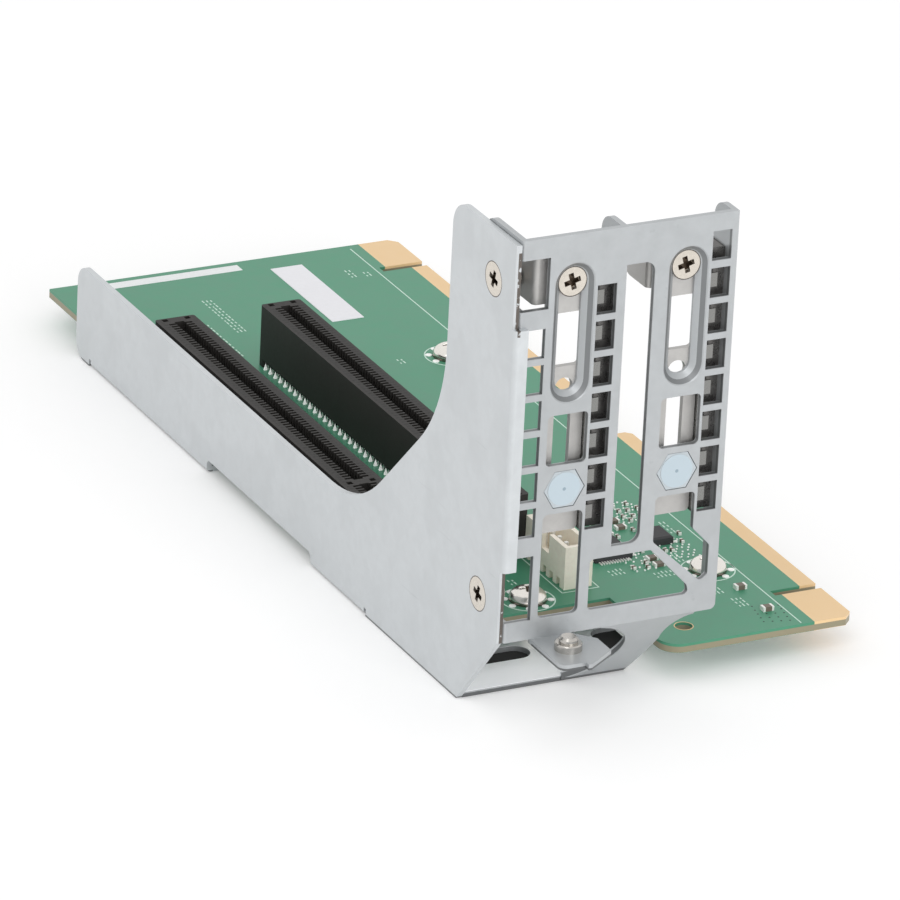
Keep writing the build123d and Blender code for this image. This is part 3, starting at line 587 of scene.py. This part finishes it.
def specks(material, scale, level, amount, stretch=(1, 1, 1), turn=0.0):
    """The mask of specks: stretched far along one axis they become scratches."""
    tree = material.node_tree
    mapping = add(tree, "Mapping",
                  {"Vector": place_in(material), "Scale": stretch, "Rotation": (turn, 0, 0)})
    return placed(tree, "Specks", speckle_group,
                  {"Vector": mapping.outputs["Vector"], "Scale": scale, "Level": level,
                   "Amount": amount}).outputs["Mask"]


def both(material, first, second):
    """Two masks multiplied."""
    return maths(material.node_tree, "MULTIPLY", first, second)


def overlay(material, colour, mask):
    """Lays a colour over what a material shows, where a mask is one."""
    tree = material.node_tree
    shader = tree.nodes["Principled BSDF"]
    under = shader.inputs["Base Color"].links[0].from_socket
    mix = add(tree, "Mix", {0: mask, 6: under, 7: rgba(colour)}, data_type="RGBA")
    tree.links.new(mix.outputs[2], shader.inputs["Base Color"])


def finish_material(name, colour, roughness, metallic=0.0, grain=0.06, scale=1500.0, bump=0.02,
                    roughness_spread=0.06, specular=0.5):
    """A plain finish: fine and cloudy grain tint the colour, and the fine grain also moves the
    roughness and lifts the surface."""
    cloud = 18
    bump_height = 0.05 * MM
    material, tree, shader = new_material(name)
    place = place_in(material)
    fine = placed(tree, "Fine grain", grain_group,
                  {"Vector": place, "Colour": rgba(colour), "Scale": scale, "Spread": grain})
    cloudy = placed(tree, "Fine grain", grain_group,
                    {"Vector": place, "Colour": fine.outputs["Colour"], "Scale": scale / cloud,
                     "Spread": grain / 2})
    level = noise_range(tree, fine.outputs["Mask"], roughness - roughness_spread,
                        roughness + roughness_spread)
    lift = add(tree, "Bump", {"Height": fine.outputs["Mask"], "Strength": bump,
                              "Distance": bump_height})
    tree.links.new(cloudy.outputs["Colour"], shader.inputs["Base Color"])
    tree.links.new(level, shader.inputs["Roughness"])
    tree.links.new(lift.outputs["Normal"], shader.inputs["Normal"])
    shader.inputs["Metallic"].default_value = metallic
    shader.inputs["Specular IOR Level"].default_value = specular
    return material


# Pieces

def dress(node, material):
    """Gives a CAD node its finished material."""
    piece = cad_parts[node]
    piece.data.materials.clear()
    piece.data.materials.append(material)


def lay(name, shape, material, slot, *nodes, smooth=False):
    """A new piece that rides on the card, and stands for CAD nodes where it replaces them."""
    piece = make_mesh(name, *shape, material, smooth=smooth)
    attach(piece, BODY)
    if nodes:
        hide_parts(*nodes)


class RISER_OT_sheets(bpy.types.Operator):
    """Dresses the wall, the front plate, the retainers, the hexagons and the spring strips."""
    bl_idname = "riser.sheets"
    bl_label = "Sheet steel"

    def execute(self, context):
        """Plated sheet for the large pieces, brighter and darker steel for the small ones, with
        painted shade and light on the sheets and the spring strips.
        """
        steel = context.scene.riser_steel
        dress("side_bracket", wall_sheet(steel))
        dress("front_plate", plate_sheet(steel))
        strip = finish_material("Retainer sheet", RETAINER_COLOUR, steel.roughness + 0.05,
                                metallic=0.55, grain=0.05, scale=900, bump=0.03)
        for n in (1, 2):
            dress(f"retainer_strip_{n}", strip)
            dress(f"hex_guide_{n}", guide_face(n))
            dress(f"spring_strip_{n}", spring_sheet(n))
        return {"FINISHED"}


def zinc_sheet(name, colour, roughness):
    """Zinc-plated sheet: clouds in two sizes and a few fine scratches."""
    dull = dimmed(colour, CLOUD)
    sheet = finish_material(name, colour, roughness, metallic=0.55, grain=0.035, scale=520,
                            bump=0.03)
    overlay(sheet, dull, specks(sheet, scale=55, level=0.50, amount=0.28))
    overlay(sheet, dull, specks(sheet, scale=240, level=0.52, amount=0.16))
    overlay(sheet, dimmed(colour, SCRATCH_AND_SHADE),
            specks(sheet, scale=700, level=0.70, amount=0.24, stretch=(1, 0.08, 1), turn=0.3))
    return sheet


def wall_sheet(steel):
    """The wall: painted shade along its foot, and rust specks of wear with painted shade of the
    gap along its front edge.
    """
    sheet = zinc_sheet("Wall sheet", steel.colour, steel.roughness)
    dark = dimmed(dimmed(steel.colour, SCRATCH_AND_SHADE), EDGE_SHADE)
    # Painted shade along the wall's foot
    overlay(sheet, dark, box_region(sheet, WALL_FOOT_SHADE))
    # Rust specks and painted shade of the gap along the wall's front edge
    for box, level in ((LOWER_RUST_AND_SHADE, 0.30), (UPPER_RUST_AND_SHADE, 0.36)):
        wear_and_shade = specks(sheet, scale=1100, level=level, amount=0.92)
        overlay(sheet, RUST_AND_GAP_SHADE, both(sheet, box_region(sheet, box), wear_and_shade))
    return sheet


def plate_sheet(steel):
    """The front plate, dimmed beside the wall as painted shade, with painted shade on its cut
    sides, painted light on the floor panel and painted shade on that panel's edge. The leg's cut
    sides are those whose distance along its normal is near its middle."""
    # The plate's sheet dimmed as painted shade
    colour = dimmed(steel.colour, steel.plate_painted_shade)
    dark = dimmed(colour, SCRATCH_AND_SHADE)
    sheet = zinc_sheet("Plate sheet", colour, steel.roughness)
    # Painted shade on the windows' and the tab's cut sides
    overlay(sheet, dimmed(dark, WINDOW_SHADE), box_region(sheet, WINDOW_SIDES))
    overlay(sheet, dimmed(dark, TAB_SHADE), box_region(sheet, TAB_SIDES))
    # Painted shade on the leg's cut sides, found by their distance along the slope's normal
    slope = Vector((0, LEG_RISE, LEG_DEPTH)).normalized()
    face = Vector(corner_at(0, 0, LEG_RISE)).dot(slope)
    along = vectors(sheet.node_tree, "DOT_PRODUCT", place_in(sheet), slope, result="Value")
    inside = maths(sheet.node_tree, "COMPARE", along, face + LEG_MIDDLE, LEG_HALF)
    overlay(sheet, dimmed(dark, EDGE_SHADE), both(sheet, box_region(sheet, LEG_SIDES), inside))
    # Painted light on the floor panel
    overlay(sheet, steel.foot_painted_light, box_region(sheet, FLOOR_PANEL_LIGHT))
    # Painted shade on the floor panel's front edge
    overlay(sheet, dimmed(dark, EDGE_SHADE), box_region(sheet, PANEL_EDGE_SHADE))
    return sheet


def guide_face(n):
    """A bright disc on the hexagon's face, with painted shade for a small dimple in its middle."""
    disc_radius, dimple_radius = 2.85 * MM, 0.3 * MM
    low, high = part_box(f"hex_guide_{n}")
    middle = (Vector(low) + Vector(high)) / 2
    face = finish_material(f"Bright guide {n}", GUIDE_COLOUR, 0.4, metallic=0.4, grain=0.04,
                           scale=1200, bump=0.01)
    # The bright disc, then the dimple's painted shade
    for colour, radius in ((GUIDE_DISC, disc_radius), (GUIDE_DIMPLE_SHADE, dimple_radius)):
        overlay(face, colour, round_region(face, middle, (1, 0, 1), radius))
    return face


def spring_sheet(n):
    """Spring steel: a dark strip as painted shade, whose finger faces are brighter as painted
    light.
    """
    side, depth = 1.7 * MM, 0.35 * MM
    spring = finish_material(f"Spring steel {n}", SHADED_SPRING, 0.28, metallic=0.8, grain=0.12,
                             scale=900)
    low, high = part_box(f"spring_strip_{n}")
    # Painted light on the front finger faces
    lit_faces = region(spring, (low[0] - LIP, low[1] - LIP, low[2]),
                    (high[0] - side, low[1] + depth, high[2]))
    overlay(spring, LIT_SPRING_FACE, lit_faces)
    return spring


class RISER_OT_slots(bpy.types.Operator):
    """Dresses the card slots and their contacts, and lays solder at the contacts' tails."""
    bl_idname = "riser.slots"
    bl_label = "Card slots"

    def execute(self, context):
        """Moulded black bodies with gilt contacts, and bright solder that glows as painted light.
        """
        tail = context.scene.riser_board.tail_colour
        body = slot_body(context.scene.riser_plastic.slot_colour)
        gilt = gilt_contact(context.scene.riser_board.gold_colour, tail)
        # Both solders glow a little: painted light
        solder_material("Solder", tail, glow=0.08)
        bright = solder_material("Tail solder", tail, glow=0.28)
        for n in (1, 2):
            dress(f"connector_housing_{n}", body)
            dress(f"connector_contacts_{n}", gilt)
            lay(f"tail_solder_{n}", tail_solder(n), bright, "pin_tin")
        return {"FINISHED"}


def slot_body(colour):
    """Black moulding with painted shade in the grooves between the ribs across both slots' tops.
    """
    body = finish_material("Slot body", colour, 0.58, grain=0.15, scale=1600, bump=0.08,
                           specular=0.35)
    for n in (1, 2):
        ribs(body, n)
    return body


def gilt_contact(colour, tail):
    """Gilt contacts whose tails, up to a little above their lowest point, are tinned."""
    tinned = 1.3 * MM
    gilt = finish_material("Gilt contact", colour, 0.32, metallic=0.85, grain=0.08)
    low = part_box("connector_contacts_1")[0]
    overlay(gilt, tail, region(gilt, (wall_low[0], board_low[1], low[2] - LIP),
                               (board_high[0], board_high[1], low[2] + tinned)))
    return gilt


def solder_material(name, colour, glow):
    """Bright solder with a faint glow as painted light, which keeps it bright between the shading
    slots.
    """
    solder = finish_material(name, colour, 0.3, metallic=0.1, grain=0.04)
    shader = solder.node_tree.nodes["Principled BSDF"]
    shader.inputs["Emission Color"].default_value = rgba(colour)
    shader.inputs["Emission Strength"].default_value = glow
    return solder


def ribs(body, n):
    """Painted shade of the grooves across a slot's top: half of every pitch, counted from the last
    contact.
    """
    film = 0.05 * MM
    tree = body.node_tree
    low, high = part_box(f"connector_housing_{n}")
    contacts_low, contacts_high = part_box(f"connector_contacts_{n}")
    place = add(tree, "SeparateXYZ", {0: place_in(body)})
    from_last = maths(tree, "SUBTRACT", contacts_high[1] + film, place.outputs[1])
    share = maths(tree, "FRACT", maths(tree, "DIVIDE", from_last, CONTACT_PITCH))
    line = maths(tree, "LESS_THAN", share, 0.5)
    middle = (low[0] + high[0]) / 2
    for side in (-1, 1):
        left, right = sorted(middle + side * reach for reach in RIB_ROW)
        top = region(body, (left, contacts_low[1], high[2] - film),
                     (right, contacts_high[1], high[2] + LIP))
        # Painted shade in the grooves
        overlay(body, RIB_GROOVE_SHADE, both(body, top, line))


def tail_solder(n):
    """A small pyramid of solder at every outer tail: four base corners and one tip each."""
    inset = 0.2 * MM
    low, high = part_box(f"connector_contacts_{n}")
    y = np.arange(high[1] - inset, low[1], -2 * CONTACT_PITCH)
    places = np.vstack([np.stack([np.full_like(y, x), y], axis=1)
                        for x in (low[0] - SOLDER_OUTSET, high[0] + SOLDER_OUTSET)])
    corner = np.array([[-1, -1], [1, -1], [1, 1], [-1, 1]]) * np.array(SOLDER_HALF) * MM
    points = np.zeros((len(places), 5, 3))
    points[:, :4, :2] = places[:, None, :] + corner[None, :, :]
    points[:, 4, :2] = places
    points[:, :4, 2] = BOARD_TOP
    points[:, 4, 2] = BOARD_TOP + SOLDER_HEIGHT
    side = np.array([[0, 1, 4], [1, 2, 4], [2, 3, 4], [3, 0, 4]])
    faces = (np.arange(len(places))[:, None, None] * 5 + side).reshape(-1, 3)
    return points.reshape(-1, 3), faces


class RISER_OT_board(bpy.types.Operator):
    """Dresses the board and lays its print and its solder dots."""
    bl_idname = "riser.board"
    bl_label = "Board and print"

    def execute(self, context):
        """Green mask with bare bands and sides, print and solder as thin raised pieces."""
        board = context.scene.riser_board
        dress("circuit_board", board_material(board))
        screws = [middle_of(f"board_screw_{n}") for n in (1, 2, 3)]
        solder_dots(board, screws)
        guide_pad(board)
        white_print(board, screws)
        print_field(board)
        return {"FINISHED"}


def board_material(board):
    """The green mask, the bare bands along the finger side and the bare cut sides."""
    film, shade = 0.04 * MM, 0.5 * MM
    mask = finish_material("Board mask", board.mask_colour, 0.36, grain=0.05, scale=420,
                           bump=0.03, specular=0.35)
    low_y, far_y = board_low[1] - LIP, board_high[1] + LIP
    far_x = board_high[0] + LIP
    (band, near_slit), (tongue, far_slit) = spot(BAND_X, NEAR_SLIT), spot(TONGUE_X, FAR_SLIT)
    for left, near, far in ((band, low_y, far_y), (tongue, low_y, near_slit),
                            (tongue, far_slit, far_y)):
        overlay(mask, board.band_colour, region(mask, (left, near, BOARD_UNDER - LIP),
                                                (far_x, far, BOARD_TOP + LIP)))
    side = region(mask, (board_low[0] - LIP, low_y, BOARD_UNDER + film),
                  (far_x, far_y, BOARD_TOP - shade))
    overlay(mask, board.core_colour, side)
    return mask


def solder_dots(board, screws):
    """Eight dots of solder in a circle round each board screw."""
    step = 360 / DOTS
    angle = np.radians(np.arange(step / 2, 360, step))
    circle = np.stack([np.cos(angle), np.sin(angle)], axis=1) * DOT_CIRCLE
    places = (np.array(screws)[:, None, :] + circle[None, :, :]).reshape(-1, 2)
    dots = discs(places, board.dot_radius, BOARD_TOP, BOARD_TOP + 4 * board.print_height,
                 steps=12)
    # The dots' solder glows a little: painted light
    lay("solder_dots", dots, bpy.data.materials["Solder"], "pin_tin")


def guide_pad(board):
    """A thin bare ring round the guide hole."""
    tan = finish_material("Bare ring", board.band_colour, 0.4, metallic=0.3, grain=0.05)
    ring = rings([spot(*GUIDE_HOLE)], PAD_INNER, PAD_OUTER, BOARD_TOP,
                 BOARD_TOP + board.print_height)
    lay("ring_pad", ring, tan, "contact_gold")


def white_print(board, screws):
    """The screws' circles, the long line, the box and the dashes, as one piece of ink."""
    ink = finish_material("White ink", board.ink_colour, 0.7, scale=1800)
    heights = BOARD_TOP, BOARD_TOP + board.print_height
    radius = board.circle_radius
    circles = rings(screws, radius - CIRCLE_HALF, radius + CIRCLE_HALF, *heights, steps=48)
    line = ribbon(spots(LONG_LINE), LONG_LINE_WIDTH, *heights)
    (left, near), (right, far) = PRINTED_BOX
    outline = ((left, near), (left, far), (right, far), (right, near), (left, near))
    box = ribbon(spots(outline), BOX_LINE_WIDTH, *heights)
    marks = tiles(*print_marks(), *heights)
    lay("board_ink", joined([circles, line, box, marks]), ink, "label_white")


def print_field(board):
    """The long plain white field at the board's far edge."""
    paint = finish_material("Print field", FIELD_COLOUR, 0.7, grain=0.04, scale=1800)
    field = tiles(*spots(PRINT_FIELD)[:, None], BOARD_TOP, BOARD_TOP + board.print_height)
    lay("print_field", field, paint, "label_white")


def print_marks():
    """Short printed dashes in blocks: each block has its corner, columns and rows, and a dash
    sits at column times one step and row times the other, with one of four lengths."""
    column_step, row_step, width, shortest, longer = 0.75, 1.3, 0.24, 0.5, 0.45
    blocks = [(51.0, 35.6, 4, 3), (46.2, 31.2, 5, 2), (53.6, 16.2, 3, 3), (52.0, 22.0, 3, 2),
              (22.0, 37.2, 2, 2), (47.0, 59.6, 3, 2), (56.6, 46.4, 2, 4), (39.4, 34.6, 4, 2),
              (24.6, 150.0, 3, 12), (19.4, 140.0, 3, 12), (54.6, 165.8, 2, 3),
              (57.4, 165.4, 2, 2), (45.6, 127.4, 2, 2), (24.8, 60.0, 1, 2)]
    low, high = [], []
    for x, y, columns, rows in blocks:
        column, row = np.indices((columns, rows)).reshape(2, -1)
        start = spots(np.stack([x + column_step * column, y + row_step * row], axis=1))
        length = shortest + longer * ((column * 3 + row * 5) % 4) / 3
        low.append(start)
        high.append(start + np.stack([np.full_like(length, width), length], axis=1) * MM)
    return np.vstack(low), np.vstack(high)


class RISER_OT_screws(bpy.types.Operator):
    """Makes the round-head board screws and dresses the flat-head ones, posts and stud."""
    bl_idname = "riser.screws"
    bl_label = "Screws and posts"

    def execute(self, context):
        """Pan heads and flat heads with dark recesses, in plated steel."""
        steel = context.scene.riser_steel
        plated = screw_finish("Plated screw", steel)
        for n in (1, 2, 3):
            round_screw(n, plated)
            dress(f"board_post_{n}", plated)
        dress("guide_stud", finish_material("Stud steel", STUD_COLOUR, 0.22, metallic=0.95))
        for node, axis in (("retainer_screw_1", 1), ("retainer_screw_2", 1),
                           ("side_screw_upper", 0), ("side_screw_lower", 0)):
            dress(node, flat_head(node, axis, steel))
        return {"FINISHED"}


def screw_finish(name, steel):
    """The plated steel of the screws."""
    return finish_material(name, steel.screw_colour, 0.26, metallic=0.85, grain=0.05)


def sunk_recess(material, low, high, keep):
    """Painted shade in a screw's recess: inside a box and round its middle."""
    core = round_region(material, (low + high) / 2, keep, RECESS_RADIUS)
    overlay(material, RECESS_SHADE, both(material, region(material, low, high), core))


def round_screw(n, plated):
    """A round head with painted shade at its foot and in its recess, and its shank under it."""
    foot_shade_height, crown_top = 0.55 * MM, 0.35 * MM
    node = f"board_screw_{n}"
    steel = finish_material(f"Round screw {n}", ROUND_HEAD, 0.17, metallic=0.9, grain=0.02,
                            scale=900, bump=0.0, roughness_spread=0.02)
    low, high = (Vector(corner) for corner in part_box(node))
    # Painted shade at the head's foot
    foot_shade_top = Vector((high[0] + LIP, high[1] + LIP, BOARD_TOP + foot_shade_height))
    overlay(steel, HEAD_FOOT_SHADE, region(steel, low - Vector((LIP, LIP, 0)), foot_shade_top))
    sunk_recess(steel, low, high - Vector((0, 0, crown_top)), (1, 1, 0))
    lay(f"round_screw_{n}", pan_head(node), steel, "screw_steel", node, smooth=True)
    shank = discs([middle_of(node)], SHANK_RADIUS, low[2], BOARD_TOP, steps=20)
    lay(f"round_screw_shank_{n}", shank, plated, "screw_steel")


def flat_head(node, axis, steel):
    """A flat screw's steel, with painted shade in its recess and round the rim of its face."""
    face_depth, rim_width = 0.12 * MM, 0.16 * MM
    head = screw_finish(f"Finish of {node}", steel)
    low, high = (Vector(corner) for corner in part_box(node))
    low[axis] += face_depth
    keep = [1, 1, 1]
    keep[axis] = 0
    sunk_recess(head, low, high, keep)
    radius = max(high[2] - low[2], high[0] - low[0]) / 2
    face = round_region(head, (low + high) / 2, keep, radius - rim_width)
    # Painted shade round the face's rim
    overlay(head, FLAT_RIM_SHADE, maths(head.node_tree, "SUBTRACT", 1.0, face))
    return head


class RISER_OT_header(bpy.types.Operator):
    """Dresses the power header and its pins."""
    bl_idname = "riser.header"
    bl_label = "Power header"

    def execute(self, context):
        """Cream moulding, raised brighter as painted light, and tinned pins."""
        cream = finish_material("Cream moulding", context.scene.riser_plastic.header_colour,
                                0.5, grain=0.05, scale=900, bump=0.04)
        dress("power_header", cream)
        tin = finish_material("Tinned pin", PIN_COLOUR, 0.3, metallic=0.2, grain=0.05)
        dress("header_pins", tin)
        return {"FINISHED"}


class RISER_OT_chips(bpy.types.Operator):
    """Dresses the chips, the small parts and the blank label, and scatters the tiny parts."""
    bl_idname = "riser.chips"
    bl_label = "Chips and small parts"

    def execute(self, context):
        """Matt chip bodies, tinned ends and a paper label."""
        chip = finish_material("Chip moulding", context.scene.riser_plastic.chip_colour, 0.6,
                               grain=0.15, scale=2200, bump=0.1)
        for node in ("control_chip", "driver_chip"):
            dress(node, chip)
        tin = bpy.data.materials["Tinned pin"]
        for node in ("control_chip_pins", "driver_chip_pins", "component_ends"):
            dress(node, tin)
        bodies = finish_material("Small part body", PART_COLOUR, 0.5, grain=0.1, bump=0.03)
        dress("component_bodies", bodies)
        paper = finish_material("Blank paper", PAPER_COLOUR, 0.65, grain=0.02, bump=0.03)
        dress("blank_label", paper)
        tiny_parts(bodies, tin)
        # The beads' solder glows a little: painted light
        beads = discs(bead_places(), BEAD, BOARD_TOP, BOARD_TOP + BEAD, steps=8)
        lay("solder_beads", beads, bpy.data.materials["Solder"], "pin_tin")
        # Dark discs as painted shade of the through-holes
        vias = discs(via_places(), BEAD, BOARD_TOP, BOARD_TOP + VIA_LIFT, steps=8)
        lay("via_dots", vias, chip, "chip_black")
        return {"FINISHED"}


def tiny_parts(bodies, tin):
    """Tiny parts round the chips, half a millimetre wide and a millimetre long: a dark body
    between two tinned ends."""
    places = spots([(55.8, 57.4), (55.4, 55.4), (54.8, 59.5), (52.2, 59.5), (52.2, 57.2),
                    (51.9, 55.0), (52.4, 53.2), (53.8, 57.0), (53.6, 54.6), (46.9, 37.0),
                    (46.4, 35.3), (50.8, 40.3), (52.2, 40.2), (53.4, 40.0), (56.6, 42.6),
                    (57.6, 45.6), (51.0, 49.6), (44.0, 35.8), (48.4, 41.4), (47.3, 48.0)])
    half = np.array(TINY_HALF) * MM
    low, high = places - half, places + half
    near, far = low + [0, TINY_END], high - [0, TINY_END]
    heights = BOARD_TOP, BOARD_TOP + TINY_HEIGHT
    lay("tiny_bodies", tiles(near, far, *heights), bodies, "part_body")
    near_ends = tiles(low, np.stack([high[:, 0], near[:, 1]], axis=1), *heights)
    far_ends = tiles(np.stack([low[:, 0], far[:, 1]], axis=1), high, *heights)
    lay("tiny_ends", joined([near_ends, far_ends]), tin, "pin_tin")


def via_places():
    """Painted shade of through-holes near the corner, as dark discs on a slanted grid of five
    rows,
    four to a row: a place is the first one plus its column and row times their steps."""
    first, steps = (54.5, 9.6), ((1.45, -0.35), (0.25, 1.5))
    return spots(first + np.indices((4, 5)).reshape(2, -1).T @ np.array(steps))


def bead_places():
    """Solder beads scattered in three fields: each field has its low corner, its size and a
    count, and bead k lies at the fractional parts of k times two unlike steps."""
    steps = (0.7549, 0.5698)
    fields = [(50.6, 52.0, 5.6, 9.0, 46), (49.8, 36.0, 7.6, 8.0, 46), (43.6, 33.6, 5.0, 8.4, 26)]
    places = []
    for x, y, wide, deep, count in fields:
        k = np.arange(1, count + 1)[:, None]
        places.append((x, y) + np.array([wide, deep]) * (k * steps % 1))
    return spots(np.vstack(places))


class RISER_OT_stage(bpy.types.Operator):
    """Sets the floor, the light and the photograph's camera."""
    bl_idname = "riser.stage"
    bl_label = "Stage"

    def execute(self, context):
        """A pale floor, an even sky, two soft lamps and the camera."""
        stage = context.scene.riser_stage
        set_sky(context.scene, stage.sky)
        set_floor(stage.floor_colour, stage.lift)
        set_lamp("Soft lamp", *SOFT_LAMP, stage.lamp)
        set_lamp("Fill lamp", *FILL_LAMP, stage.fill)
        set_camera(context.scene)
        return {"FINISHED"}


def seen_by(tree, *rays):
    """One for any of the named kinds of light path."""
    path = add(tree, "LightPath").outputs
    seen = path[rays[0]]
    for ray in rays[1:]:
        seen = maths(tree, "MAXIMUM", seen, path[ray])
    return seen


def set_sky(scene, strength):
    """Even light of one strength, seen as pure white by the camera and in reflections."""
    world = bpy.data.worlds.new("Even sky")
    world.use_nodes = True
    tree = world.node_tree
    tree.nodes.clear()
    seen = seen_by(tree, "Is Camera Ray", "Is Glossy Ray", "Is Transmission Ray")
    dim, white = (add(tree, "Background", {"Color": rgba(WHITE), "Strength": level})
                  for level in (strength, 1.0))
    mix = add(tree, "MixShader", {0: seen, 1: dim.outputs[0], 2: white.outputs[0]})
    add(tree, "OutputWorld", {"Surface": mix.outputs[0]})
    scene.world = world


def set_floor(colour, strength):
    """A level square under the card: white round it, and painted deep shade between its feet."""
    square = np.array([[-1, -1, 0], [1, -1, 0], [1, 1, 0], [-1, 1, 0]]) * FLOOR_REACH
    material, tree, shader = new_material("Pale floor")
    shader.inputs["Roughness"].default_value = 0.9
    shader.inputs["Specular IOR Level"].default_value = 0.0
    # Painted deep shade in the fields under the card, which also get no lift
    near, far = (region(material, (*spot(*low), -LIP), (*spot(*high), LIP))
                 for low, high in SHADE_FIELDS)
    shade = maths(tree, "MAXIMUM", near, far)
    base = add(tree, "Mix", {0: shade, 6: rgba(colour), 7: rgba(SHADE_COLOUR)},
               data_type="RGBA")
    tree.links.new(base.outputs[2], shader.inputs["Base Color"])
    lift = maths(tree, "MULTIPLY", seen_by(tree, "Is Camera Ray", "Is Glossy Ray"), strength)
    lift = maths(tree, "MULTIPLY", lift, maths(tree, "SUBTRACT", 1.0, shade))
    shader.inputs["Emission Color"].default_value = rgba(WHITE)
    tree.links.new(lift, shader.inputs["Emission Strength"])
    floor = make_mesh("floor", square - [0, 0, FLOOR_DROP], [[0, 1, 2, 3]], material)


def set_lamp(name, place, size, power):
    """A large soft lamp at a place, turned to the card."""
    light = bpy.data.lights.new(name, "AREA")
    light.shape = "DISK"
    light.size = size
    light.energy = power
    lamp = bpy.data.objects.new(name, light)
    lamp.location = place
    lamp.rotation_euler = (LAMP_AIM - lamp.location).to_track_quat("-Z", "Y").to_euler()
    bpy.context.scene.collection.objects.link(lamp)


def set_camera(scene):
    """The photograph's camera, worked back from its anchor point, angles and distance."""
    sin_a, cos_a = math.sin(CAMERA_AZIMUTH), math.cos(CAMERA_AZIMUTH)
    sin_e, cos_e = math.sin(CAMERA_ELEVATION), math.cos(CAMERA_ELEVATION)
    forward = Vector((sin_a * cos_e, cos_a * cos_e, -sin_e))
    level = Vector((cos_a, -sin_a, 0))
    upward = level.cross(forward)
    right = level * math.cos(CAMERA_ROLL) + upward * math.sin(CAMERA_ROLL)
    up = upward * math.cos(CAMERA_ROLL) - level * math.sin(CAMERA_ROLL)
    middle = PICTURE_SIZE / 2
    across = (ANCHOR_PIXEL[0] - middle) * CAMERA_DISTANCE / FOCAL_PIXELS
    above = (middle - ANCHOR_PIXEL[1]) * CAMERA_DISTANCE / FOCAL_PIXELS
    anchor = Vector((WALL_X + ANCHOR[0], PLATE_Y + ANCHOR[1], BOARD_TOP))
    data = bpy.data.cameras.new("Photograph")
    data.sensor_width = SENSOR
    data.lens = FOCAL_PIXELS * SENSOR / PICTURE_SIZE
    data.clip_end = 20.0
    camera = bpy.data.objects.new("Photograph", data)
    turn = Matrix((right, up, -forward)).transposed().to_4x4()
    place = anchor - right * across - up * above - forward * CAMERA_DISTANCE
    camera.matrix_world = Matrix.Translation(place) @ turn
    scene.collection.objects.link(camera)
    scene.camera = camera
    scene.view_settings.view_transform = "Standard"


class RISER_PT_panel(bpy.types.Panel):
    """Lists the steps that dress the card."""
    bl_idname = "RISER_PT_panel"
    bl_label = "Riser card"
    bl_space_type = "VIEW_3D"
    bl_region_type = "UI"
    bl_category = "Riser"

    def draw(self, context):
        """One button for each step, then the settings."""
        for step in STEPS:
            self.layout.operator(step.bl_idname)
        for name in GROUPS:
            settings = getattr(context.scene, name)
            for key in settings.__annotations__:
                self.layout.prop(settings, key)


STEPS = (RISER_OT_sheets, RISER_OT_slots, RISER_OT_board, RISER_OT_screws, RISER_OT_header,
         RISER_OT_chips, RISER_OT_stage)
GROUPS = {"riser_steel": RISER_PG_steel, "riser_board": RISER_PG_board,
          "riser_plastic": RISER_PG_plastic, "riser_stage": RISER_PG_stage}


def register():
    """Registers the settings, the steps and the panel."""
    for name, group in GROUPS.items():
        bpy.utils.register_class(group)
        setattr(bpy.types.Scene, name, PointerProperty(type=group))
    for step in STEPS:
        bpy.utils.register_class(step)
    bpy.utils.register_class(RISER_PT_panel)


def unregister():
    """Takes back what register added."""
    bpy.utils.unregister_class(RISER_PT_panel)
    for step in reversed(STEPS):
        bpy.utils.unregister_class(step)
    for name, group in reversed(GROUPS.items()):
        delattr(bpy.types.Scene, name)
        bpy.utils.unregister_class(group)


def main():
    """Runs every step in order."""
    register()
    bpy.ops.riser.sheets()
    bpy.ops.riser.slots()
    bpy.ops.riser.board()
    bpy.ops.riser.screws()
    bpy.ops.riser.header()
    bpy.ops.riser.chips()
    bpy.ops.riser.stage()
    bpy.context.view_layer.update()


if __name__ == "__main__":
    main()
